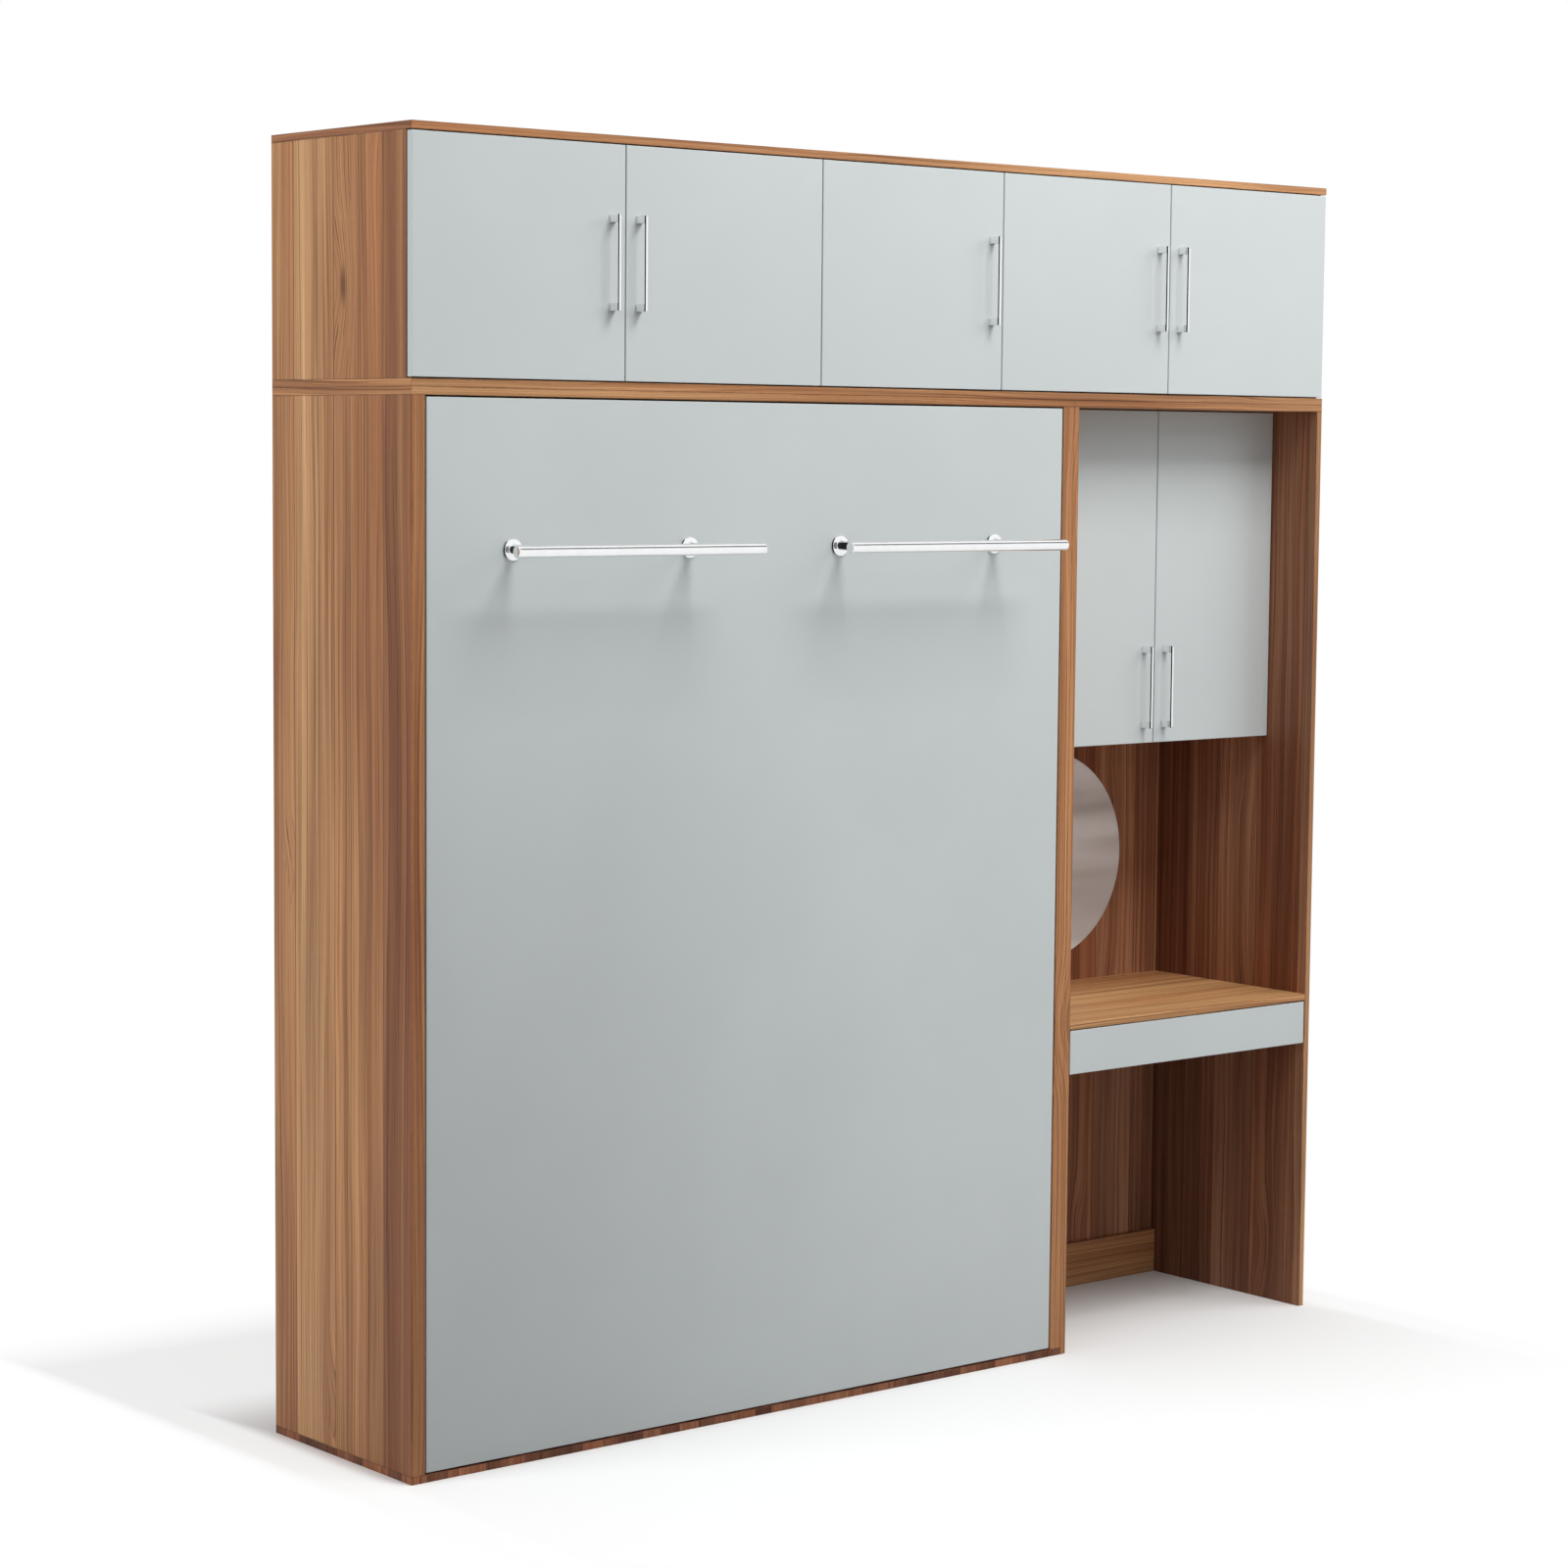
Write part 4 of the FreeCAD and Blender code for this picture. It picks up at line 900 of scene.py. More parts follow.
def cleaned(shape: Shape, mesh: bpy.types.Mesh, angle: float) -> None:
    """Merges a shape's doubles, turns its faces outwards and writes it into a mesh.

    Args:
        shape: The shape, which is freed.
        mesh: The mesh, which is then shaded.
        angle: Edges sharper than this stay sharp, in degrees.
    """
    bmesh.ops.remove_doubles(shape, verts=shape.verts, dist=1e-6)
    bmesh.ops.recalc_face_normals(shape, faces=shape.faces)
    shape.to_mesh(mesh)
    shape.free()
    shaded(mesh, angle)


def piece_from(name: str, shape: Shape, angle: float = 35.0) -> bpy.types.Object:
    """Makes a piece of a finished shape.

    Args:
        name: The piece's name.
        shape: The shape, which is freed.
        angle: Edges sharper than this stay sharp, in degrees.

    Returns:
        The new object.
    """
    mesh = bpy.data.meshes.new(name)
    cleaned(shape, mesh, angle)
    return new_piece(name, mesh)


def merged_shape(node: str) -> Shape:
    """Copies a node's loose triangles and joins them into whole faces.

    Args:
        node: The node's name.

    Returns:
        The joined shape.
    """
    shape = bmesh.new()
    shape.from_mesh(frame["nodes"][node].data)
    bmesh.ops.remove_doubles(shape, verts=shape.verts, dist=1e-5)
    bmesh.ops.dissolve_limit(
        shape, angle_limit=math.radians(0.6), verts=shape.verts, edges=shape.edges, use_dissolve_boundaries=False
    )
    return shape


def islands(node: str) -> list[Box]:
    """Measures the separate solids of a node.

    Args:
        node: The node's name.

    Returns:
        The lowest and highest corner of each solid, from left to right.
    """
    shape = merged_shape(node)
    left = set(shape.verts)
    boxes = []
    while left:
        todo = [left.pop()]
        low = high = todo[0].co.copy()
        while todo:
            vertex = todo.pop()
            low = Vector(map(min, low, vertex.co))
            high = Vector(map(max, high, vertex.co))
            for edge in vertex.link_edges:
                other = edge.other_vert(vertex)
                if other in left:
                    left.remove(other)
                    todo.append(other)
        boxes.append((low, high))
    shape.free()
    return sorted(boxes, key=lambda span: tuple(span[0]))


def bridged(shape: Shape, rings: Sequence[Sequence[bmesh.types.BMVert]], closed: bool = False) -> None:
    """Joins each ring of points to the next one by faces; a ring of one point is a tip.

    Args:
        shape: The shape that holds the points.
        rings: The rings in order.
        closed: Whether the last ring joins the first.
    """
    pairs = list(zip(rings, rings[1:])) + ([(rings[-1], rings[0])] if closed else [])
    for low, high in pairs:
        for k in range(max(len(low), len(high))):
            n = k + 1
            corners = (low[k % len(low)], low[n % len(low)], high[n % len(high)], high[k % len(high)])
            unique = list(dict.fromkeys(corners))
            if len(unique) > 2:
                shape.faces.new(unique)


def turned(shape: Shape, outline: Outline, start: Vector, axis: Vector, sides: int, closed: bool = False) -> None:
    """Adds a turned form to a shape.

    Args:
        shape: The shape that it is added to.
        outline: Steps along the axis with the radius there; a radius of 0 closes an end.
        start: The point where the axis starts.
        axis: The axis, of length 1.
        sides: How many sides stand for the circle.
        closed: Whether the outline joins its start again, as around a ring.
    """
    first = axis.orthogonal().normalized()
    second = axis.cross(first)
    angles = [math.tau * k / sides for k in range(sides)]
    rings = []
    for step, radius in outline:
        centre = start + axis * step
        spokes = [(first * math.cos(a) + second * math.sin(a)) * radius for a in angles]
        rings.append([shape.verts.new(centre + s) for s in (spokes if radius else spokes[:1])])
    bridged(shape, rings, closed)


def quarter_turn(count: int) -> list[float]:
    """Gives the angles from 0 to a quarter of a circle, in count steps."""
    return [math.pi / 2 * k / count for k in range(count + 1)]


def rounded_end(step: float, radius: float, ease: float, way: int) -> Outline:
    """Gives the outline of a turned end whose rim is rounded.

    Args:
        step: Where the end face is on the axis.
        radius: The full radius.
        ease: The rim's rounding.
        way: 1 where the form starts at the face, -1 where it ends there.

    Returns:
        Steps and radii, in the order of the axis.
    """
    rim = [(step + way * ease * (1 - math.cos(a)), radius - ease + ease * math.sin(a)) for a in quarter_turn(RIM_STEPS)]
    outline = [(step, 0.0)] + rim
    return outline if way > 0 else outline[::-1]


@dataclass
class Assembly:
    """Pieces that are built and dressed together."""

    ease: float = 0.6 * MM
    ease_angle: float = 32.0

    def build(self) -> None:
        """Builds the pieces; each assembly has its own."""
        raise NotImplementedError

    def settle(self, piece: bpy.types.Object, finish: Finish, body: str, nodes: Iterable[str] = ()) -> None:
        """Gives a piece its finish, its body and the nodes that it stands for.

        Args:
            piece: The piece, in place.
            finish: Its finish.
            body: The body that it moves with.
            nodes: Nodes that it stands for.
        """
        piece.data.materials.clear()
        piece.data.materials.append(finish.material())
        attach(piece, body)
        if nodes:
            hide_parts(*nodes)
        LOG.info("%s rides on %s", piece.name, body)

    def eased(self, node: str, finish: Finish, ease: float | None = None, segments: int = 2) -> None:
        """Copies a rigid node, rounds its edges and lets the copy stand for it.

        Args:
            node: The node's name.
            finish: The finish of the copy.
            ease: The rounding, or the assembly's own if none is given.
            segments: How many faces the rounding has.
        """
        piece = piece_from(node + "_piece", merged_shape(node))
        self.rounded(piece, self.ease if ease is None else ease, segments)
        self.settle(piece, finish, BODY_OF[node], [node])

    def rounded(self, piece: bpy.types.Object, ease: float, segments: int = 2) -> None:
        """Rounds the edges of a piece that are sharper than the assembly's angle, in degrees.

        Args:
            piece: The piece.
            ease: The rounding.
            segments: How many faces it has.
        """
        rounding = piece.modifiers.new("rounding", "BEVEL")
        rounding.width = ease
        rounding.segments = segments
        rounding.limit_method = "ANGLE"
        rounding.angle_limit = math.radians(self.ease_angle)
        rounding.harden_normals = True
        rounding.miter_outer = "MITER_ARC"


class Recipe:
    """A Geometry Nodes tree with named inputs, and the way to run it."""

    def __init__(self, name: str, inputs: Sockets) -> None:
        """Starts the tree.

        Args:
            name: The tree's name.
            inputs: The name and the kind of each input besides the geometry and the material.
        """
        self.tree = bpy.data.node_groups.new(name, "GeometryNodeTree")
        add_sockets(self.tree, "INPUT", (("Geometry", "Geometry"), *inputs, ("Material", "Material")))
        add_sockets(self.tree, "OUTPUT", (("Geometry", "Geometry"),))
        self.wiring = Wiring(self.tree)
        self.given = self.wiring.add("NodeGroupInput").outputs
        self.keys = {item.name: item.identifier for item in self.tree.interface.items_tree if item.in_out == "INPUT"}

    def end(self, geometry: Socket) -> None:
        """Makes the copies real, gives them the named material and ends the tree.

        Args:
            geometry: What the tree has made.
        """
        w = self.wiring
        real = w.put("GeometryNodeRealizeInstances", {"Geometry": geometry})
        dressed = w.put("GeometryNodeSetMaterial", {"Geometry": real, "Material": self.given["Material"]})
        w.feed(w.add("NodeGroupOutput").inputs[0], dressed)

    def run(self, name: str, source: bpy.types.Mesh, finish: Finish, values: dict[str, object]) -> bpy.types.Object:
        """Runs the tree on a mesh and gives the result as a plain piece.

        Args:
            name: The name of the new piece.
            source: The mesh that the tree starts from.
            finish: The finish of the new piece.
            values: Values by the name of the input.

        Returns:
            The new piece, with a mesh of its own and no modifier.
        """
        carrier = new_piece(name + "_source", source)
        modifier = carrier.modifiers.new("recipe", "NODES")
        modifier.node_group = self.tree
        for label, value in {**values, "Material": finish.material()}.items():
            modifier[self.keys[label]] = value
        carrier.update_tag()
        mesh = evaluated(carrier)
        mesh.name = name
        carrier.modifiers.remove(modifier)
        bpy.data.objects.remove(carrier)
        return new_piece(name, mesh)


def line_mesh(name: str, points: Sequence[Vector], edges: Sequence[tuple[int, int]] = ()) -> bpy.types.Mesh:
    """Makes a mesh of bare points, joined by edges where these are given.

    Args:
        name: The mesh's name.
        points: The points.
        edges: The numbers of the two points of each edge.

    Returns:
        The mesh.
    """
    mesh = bpy.data.meshes.new(name)
    mesh.from_pydata([tuple(p) for p in points], list(edges), [])
    return mesh


@dataclass
class ScrewSet(Assembly):
    """Countersunk cross-head screws, one mesh for each body; a head's sizes are shares of its diameter."""

    sides: int = 12
    rise: float = 0.14
    slot: float = 0.3
    seed: int = 7
    places: dict[str, list[tuple[Vector, Vector, float]]] = field(default_factory=dict)

    def drive(self, body: str, place: Vector, facing: Vector, width: float) -> None:
        """Notes one screw by its body, the place, direction and diameter of its head."""
        self.places.setdefault(body, []).append((place, facing, width))

    def head(self) -> bpy.types.Object:
        """Makes one head of diameter 1 with a cross in it.

        Returns:
            The head, as a pattern for the tree.
        """
        shape = bmesh.new()
        count = self.sides
        angles = [math.tau * k / count for k in range(count)]
        rings = [
            [shape.verts.new((radius * math.cos(a), radius * math.sin(a), height)) for a in angles]
            for radius, height in ((0.5, 0.0), (0.49, self.rise * 0.4), (0.38, self.rise))
        ]
        bridged(shape, rings)
        arm, half = self.slot, self.slot * 0.26
        turns = [Matrix.Rotation(quarter * math.pi / 2, 2) for quarter in range(4)]
        cross = [turn @ Vector(corner) for turn in turns for corner in ((arm, -half), (arm, half), (half, half))]
        top = [shape.verts.new((c.x, c.y, self.rise)) for c in cross]
        bottom = [shape.verts.new((c.x * 0.8, c.y * 0.8, self.rise * 0.2)) for c in cross]
        rim = [shape.edges.get((rings[-1][k], rings[-1][(k + 1) % count])) for k in range(count)]
        inner = [shape.edges.new((top[k], top[(k + 1) % len(top)])) for k in range(len(top))]
        bmesh.ops.triangle_fill(shape, use_beauty=True, edges=rim + inner)
        bridged(shape, (top, bottom))
        shape.faces.new(bottom)
        shape.faces.new(rings[0])
        return piece_from("screw_head_pattern", shape, 30)

    def recipe(self) -> Recipe:
        """Makes the tree that sets a head on each point, turned by chance.

        Returns:
            The tree.
        """
        recipe = Recipe("screw rows", (("Head", "Object"), ("Head Size", "Float"), ("Seed", "Int")))
        w, given = recipe.wiring, recipe.given
        head = w.put("GeometryNodeObjectInfo", {"Object": given["Head"]}, 4)
        facing = w.put("GeometryNodeInputNamedAttribute", {"Name": "facing"}, data_type="FLOAT_VECTOR")
        width = w.put("GeometryNodeInputNamedAttribute", {"Name": "width"}, data_type="FLOAT")
        size = w.times(width, given["Head Size"])
        placed = w.put("GeometryNodeInstanceOnPoints", {
            "Points": given["Geometry"],
            "Instance": head,
            "Rotation": w.put("FunctionNodeAlignRotationToVector", {"Vector": facing}, axis="Z"),
            "Scale": w.combine(size, size, size),
        })
        chance = w.add("FunctionNodeRandomValue", data_type="FLOAT")
        low, high = [s for s in chance.inputs if s.type == "VALUE" and s.enabled][:2]
        low.default_value, high.default_value = 0.0, math.tau
        w.feed(chance.inputs["Seed"], given["Seed"])
        angle = next(s for s in chance.outputs if s.type == "VALUE")
        spin = w.combine(0.0, 0.0, angle)
        recipe.end(w.put("GeometryNodeRotateInstances", {"Instances": placed, "Rotation": spin}))
        return recipe

    def build(self) -> None:
        """Sets the heads, one mesh for each body."""
        head, recipe = self.head(), self.recipe()
        for body, points in self.places.items():
            mesh = line_mesh("screw_places", [place for place, _, _ in points])
            facing = mesh.attributes.new("facing", "FLOAT_VECTOR", "POINT")
            facing.data.foreach_set("vector", [part for _, way, _ in points for part in way])
            width = mesh.attributes.new("width", "FLOAT", "POINT")
            width.data.foreach_set("value", [diameter for _, _, diameter in points])
            values = {"Head": head, "Head Size": 1.0, "Seed": self.seed}
            self.settle(recipe.run(body + "_screws", mesh, ZINC, values), ZINC, body)
        bpy.data.objects.remove(head)


@dataclass
class Cabinet(Assembly):
    """The walnut-look boards of the bed cabinet, the desk unit and the upper unit."""

    upright: tuple[str, ...] = (
        "bed_side_panel_left", "bed_side_panel_right", "desk_side_panel_left", "upper_uprights"
    )
    sideways: tuple[str, ...] = (
        "bed_top_board", "desk_top_board", "wall_cabinet_bottom", "wall_cabinet_shelf", "upper_bottom_board",
        "rear_rails",
    )
    backs: tuple[str, ...] = ("bed_back_panel", "desk_back_panel", "upper_back_panel")
    back_ease: float = 0.3 * MM
    pin_ease: float = 0.5 * MM
    screw_pitch: float = 150 * MM
    screw: float = 7 * MM
    screw_inset: float = 8 * MM

    def build(self) -> None:
        """Builds the boards and the shelf's pins."""
        for node in self.upright:
            self.eased(node, WALNUT_UPRIGHT)
        for node in self.sideways:
            self.eased(node, WALNUT_SIDEWAYS)
        # The niche's right board gets painted shade on its inner face.
        self.eased("desk_side_panel_right", WALNUT_NICHE_PAINTED_SHADE)
        self.eased("upper_top_board", WALNUT_TOP)
        self.eased("desktop", WALNUT_DESK)
        self.eased("base_board", WALNUT_BASE)
        for node in self.backs:
            self.eased(node, WALNUT_INNER, self.back_ease, 1)
        self.eased("shelf_pins", ZINC, self.pin_ease)

    def fasten(self, screws: ScrewSet) -> None:
        """Notes the screws that hold the thin backs, seen from behind.

        Args:
            screws: Keeps the screws.
        """
        for node in self.backs:
            low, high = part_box(node)
            rows, columns = (int(reach / self.screw_pitch) for reach in (high.z - low.z, high.x - low.x))
            left, right = low.x + self.screw_inset, high.x - self.screw_inset
            bottom, top = low.z + self.screw_inset, high.z - self.screw_inset
            spots = [(x, bottom + (top - bottom) * k / rows) for k in range(rows + 1) for x in (left, right)]
            spots += [(left + (right - left) * k / columns, z) for k in range(1, columns) for z in (bottom, top)]
            for x, z in spots:
                screws.drive("cabinet", Vector((x, high.y, z)), BACK, self.screw)


@dataclass
class Fronts(Assembly):
    """The grey doors, the drawer's front and the bed's front panel, with their bow handles."""

    ease: float = 0.7 * MM
    doors: tuple[str, ...] = tuple(f"upper_door_{k}" for k in range(1, 6)) + ("wall_door_left", "wall_door_right")
    plain: tuple[str, ...] = ("drawer_front", "bed_front_panel")
    handle_ease: float = 0.9 * MM
    handle_grip: float = 5.2 * MM
    handle_screw: float = 8 * MM

    def build(self) -> None:
        """Builds the fronts and the handles."""
        for node in self.doors + self.plain:
            self.eased(node, GREY_FRONT)
        for door in self.doors:
            self.eased(door + "_handle", self.handle_chrome(door + "_handle"), self.handle_ease, 3)

    def handle_chrome(self, node: str) -> BareMetal:
        """Gives the chrome whose painted shade on the sides ends where a handle's grip ends.

        Args:
            node: The handle's node.

        Returns:
            The chrome of all handles at that depth.
        """
        depth = round(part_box(node)[0].y + self.handle_grip, 4)
        name = f"handle chrome with painted shade at {abs(round(depth / MM))} mm"
        return BareMetal(name, "handle_metal", coat=Coat.PAINTED_SHADE_SIDES, sheen=0.05, grip=depth)

    def fasten(self, screws: ScrewSet) -> None:
        """Notes the two screws behind each handle, seen when the door is open.

        Args:
            screws: Keeps the screws.
        """
        for door in self.doors:
            low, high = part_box(door + "_handle")
            x, inset = (low.x + high.x) / 2, (high.x - low.x) / 2
            for z in (low.z + inset, high.z - inset):
                screws.drive(BODY_OF[door], Vector((x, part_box(door)[1].y, z)), BACK, self.handle_screw)


@dataclass
class Hinges(Assembly):
    """Concealed hinges: cups in the doors and arms on the sides."""

    ease: float = 0.5 * MM
    cups: tuple[str, ...] = tuple(sorted(n for n in frame["nodes"] if n.endswith("_hinge_cups")))
    flange_screw: float = 7 * MM
    flange_reach: float = 24 * MM
    plate_screw: float = 7.5 * MM
    plate_reach: float = 18 * MM
    plate_depth: float = 2.5 * MM
    plate_back: float = 16 * MM
    arm_backs: tuple[float, float] = (10 * MM, 28 * MM)

    def build(self) -> None:
        """Builds the cups and the arms."""
        for node in (*self.cups, "hinge_arms"):
            self.eased(node, ZINC)

    def fasten(self, screws: ScrewSet) -> None:
        """Notes two screws on each cup's flange, on each arm's plate and along each arm.

        Args:
            screws: Keeps the screws.
        """
        for node in self.cups:
            for low, high in islands(node):
                middle = (low + high) / 2
                for side in (-1, 1):
                    place = Vector((middle.x, high.y, middle.z + side * self.flange_reach))
                    screws.drive(BODY_OF[node], place, BACK, self.flange_screw)
        for low, high in islands("hinge_arms"):
            z = ((low + high) / 2).z
            way = 1 if self.points_right(low) else -1
            foot, top = (low.x, high.x) if way > 0 else (high.x, low.x)
            for side in (-1, 1):
                place = Vector((foot + way * self.plate_depth, high.y - self.plate_back, z + side * self.plate_reach))
                screws.drive("cabinet", place, RIGHT * way, self.plate_screw)
            for back in self.arm_backs:
                screws.drive("cabinet", Vector((top, high.y - back, z)), RIGHT * way, self.flange_screw)

    def points_right(self, low: Vector) -> bool:
        """Tells whether an arm points right, because it stands on the board at its left.

        Args:
            low: The arm's lowest corner.

        Returns:
            True where a board ends at the arm's left.
        """
        nodes = ("upper_uprights", "desk_side_panel_left", "desk_side_panel_right")
        spans = [span for node in nodes for span in islands(node)]
        return any(abs(span[1].x - low.x) < MM and span[0].z < low.z < span[1].z for span in spans)


@dataclass
class Drawer(Assembly):
    """The drawer's box, its slides and the runners in the desk unit."""

    ease: float = 0.5 * MM
    slide_ease: float = 0.3 * MM
    board: float = 12 * MM
    bottom: float = 5 * MM
    bottom_rise: float = 8 * MM
    joint: float = 0.02 * MM
    screw: float = 8 * MM
    screw_shares: tuple[float, ...] = (0.12, 0.5, 0.88)

    def build(self) -> None:
        """Builds the drawer's pieces."""
        shape = bmesh.new()
        for low, high in self.boards():
            size = high - low - Vector((self.joint,) * 3)
            place = Matrix.Translation((low + high) / 2) @ Matrix.Diagonal((*size, 1.0))
            bmesh.ops.create_cube(shape, size=1.0, matrix=place)
        box = piece_from("drawer_box_piece", shape)
        self.rounded(box, self.ease)
        self.settle(box, GREY_BOARD, "drawer", ["drawer_box"])
        self.eased("drawer_slides", ZINC, self.slide_ease, 1)
        self.eased("drawer_runners", ZINC, self.slide_ease, 1)

    def boards(self) -> list[Box]:
        """Measures the box's boards.

        Returns:
            The lowest and highest corner of the two sides, the two ends and the bottom.
        """
        low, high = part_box("drawer_box")
        inner_low, inner_high = low + (RIGHT + BACK) * self.board, high - (RIGHT + BACK) * self.board
        floor = low.z + self.bottom_rise
        return [
            (low, Vector((inner_low.x, high.y, high.z))),
            (Vector((inner_high.x, low.y, low.z)), high),
            (Vector((inner_low.x, low.y, low.z)), Vector((inner_high.x, inner_low.y, high.z))),
            (Vector((inner_low.x, inner_high.y, low.z)), Vector((inner_high.x, high.y, high.z))),
            (Vector((inner_low.x, inner_low.y, floor)), Vector((inner_high.x, inner_high.y, floor + self.bottom))),
        ]

    def fasten(self, screws: ScrewSet) -> None:
        """Notes the screws from the drawer's box into its front.

        Args:
            screws: Keeps the screws.
        """
        low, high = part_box("drawer_box")
        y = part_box("drawer_front")[1].y + self.board
        for share in self.screw_shares:
            place = Vector((low.x + (high.x - low.x) * share, y, (low.z + high.z) / 2))
            screws.drive("drawer", place, BACK, self.screw)


@dataclass
class RoundMirror(Assembly):
    """The round mirror in the niche, with a ground bevel around it."""

    ease: float = 0.3 * MM
    bevel: float = 9 * MM
    drop: float = 0.9 * MM
    sides: int = 160

    def build(self) -> None:
        """Turns the mirror."""
        low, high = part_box("round_mirror")
        radius, depth = (high.x - low.x) / 2, high.y - low.y
        start = Vector(((low.x + high.x) / 2, high.y, (low.z + high.z) / 2))
        outline = [
            (0.0, 0.0), (0.0, radius - self.ease), (self.ease, radius),
            (depth - self.drop - self.ease, radius), (depth - self.drop, radius - self.ease),
            (depth - 0.05 * MM, radius - self.bevel), (depth, radius - self.bevel - 0.5 * MM), (depth, 0.0),
        ]
        shape = bmesh.new()
        turned(shape, outline, start, -BACK, self.sides)
        self.settle(piece_from("round_mirror_piece", shape, 4), MIRROR, "cabinet", ["round_mirror"])


@dataclass
class FootBars(Assembly):
    """The two polished bars on the bed's front, which stand on the floor when the bed is down."""

    ease: float = 0.3 * MM
    nut_ease: float = 0.4 * MM
    bar: float = 25 * MM
    bar_ease: float = 2 * MM
    bar_sides: int = 72
    length: float = 624 * MM
    cap: float = 5 * MM
    cap_joint: float = 0.35 * MM
    post: float = 20 * MM
    post_sides: int = 56
    post_spacing: float = 448 * MM
    fillet: float = 2.5 * MM
    flange: float = 44 * MM
    flange_depth: float = 5 * MM
    flange_ease: float = 1.6 * MM
    flange_gap: float = 0.02 * MM
    stud: float = 8 * MM
    stud_ease: float = 0.8 * MM

    def build(self) -> None:
        """Turns the tubes, their caps, posts, flanges and studs, and copies the nuts."""
        low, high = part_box("leg_bars")
        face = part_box("bed_front_panel")[0].y
        y, z = low.y + self.bar / 2, (low.z + high.z) / 2
        shape = bmesh.new()
        for middle in (low.x + self.length / 2, high.x - self.length / 2):
            self.tube(shape, Vector((middle - self.length / 2, y, z)))
            for side in (-1, 1):
                self.foot(shape, Vector((middle + side * self.post_spacing / 2, y, z)), face, high.y)
        piece = piece_from("foot_bars_piece", shape, 40)
        # The posts and flanges behind the tubes get painted shade and reflection on their sides.
        chrome = BareMetal("bar chrome with painted shade", "chrome", coat=Coat.PAINTED_SHADE_POSTS, grip=low.y + self.bar + 2 * MM)
        self.settle(piece, chrome, "bed", ["leg_bars"])
        self.eased("bar_nuts", ZINC, self.nut_ease)

    def tube(self, shape: Shape, start: Vector) -> None:
        """Turns one tube whose end caps show a fine joint.

        Args:
            shape: The shape that it is added to.
            start: The middle of the tube's left end.
        """
        radius, ease = self.bar / 2, self.bar_ease
        joint = [(self.cap, radius), (self.cap + 0.15 * MM, radius - self.cap_joint), (self.cap + 0.5 * MM, radius)]
        far = [(self.length - step, r) for step, r in reversed(joint)]
        outline = rounded_end(0.0, radius, ease, 1) + joint + far + rounded_end(self.length, radius, ease, -1)
        turned(shape, outline, start, RIGHT, self.bar_sides)

    def foot(self, shape: Shape, start: Vector, face: float, end: float) -> None:
        """Turns one post with its flange on the panel and its stud behind.

        Args:
            shape: The shape that it is added to.
            start: The point on the tube's axis where the post starts.
            face: The panel's face.
            end: The end of the stud.
        """
        reach, tip = face - start.y, end - start.y
        top, seat = reach - self.flange_depth, reach - self.flange_gap
        post, rim, stud = self.post / 2, self.flange / 2, self.stud / 2
        fillet, ease = self.fillet, self.flange_ease
        arc = [(math.sin(a), 1 - math.cos(a)) for a in quarter_turn(RIM_STEPS)]
        outline = [(0.0, 0.0), (0.0, post), (top - fillet, post)]
        outline += [(top - fillet + fillet * rise, post + fillet * back) for rise, back in arc]
        outline += [(top + ease * back, rim - ease + ease * rise) for rise, back in arc]
        outline += [(reach - self.ease, rim), (seat, rim - self.ease), (seat, stud)]
        outline += [(tip - self.stud_ease, stud), (tip, stud - self.stud_ease), (tip, 0.0)]
        turned(shape, outline, start, BACK, self.post_sides)


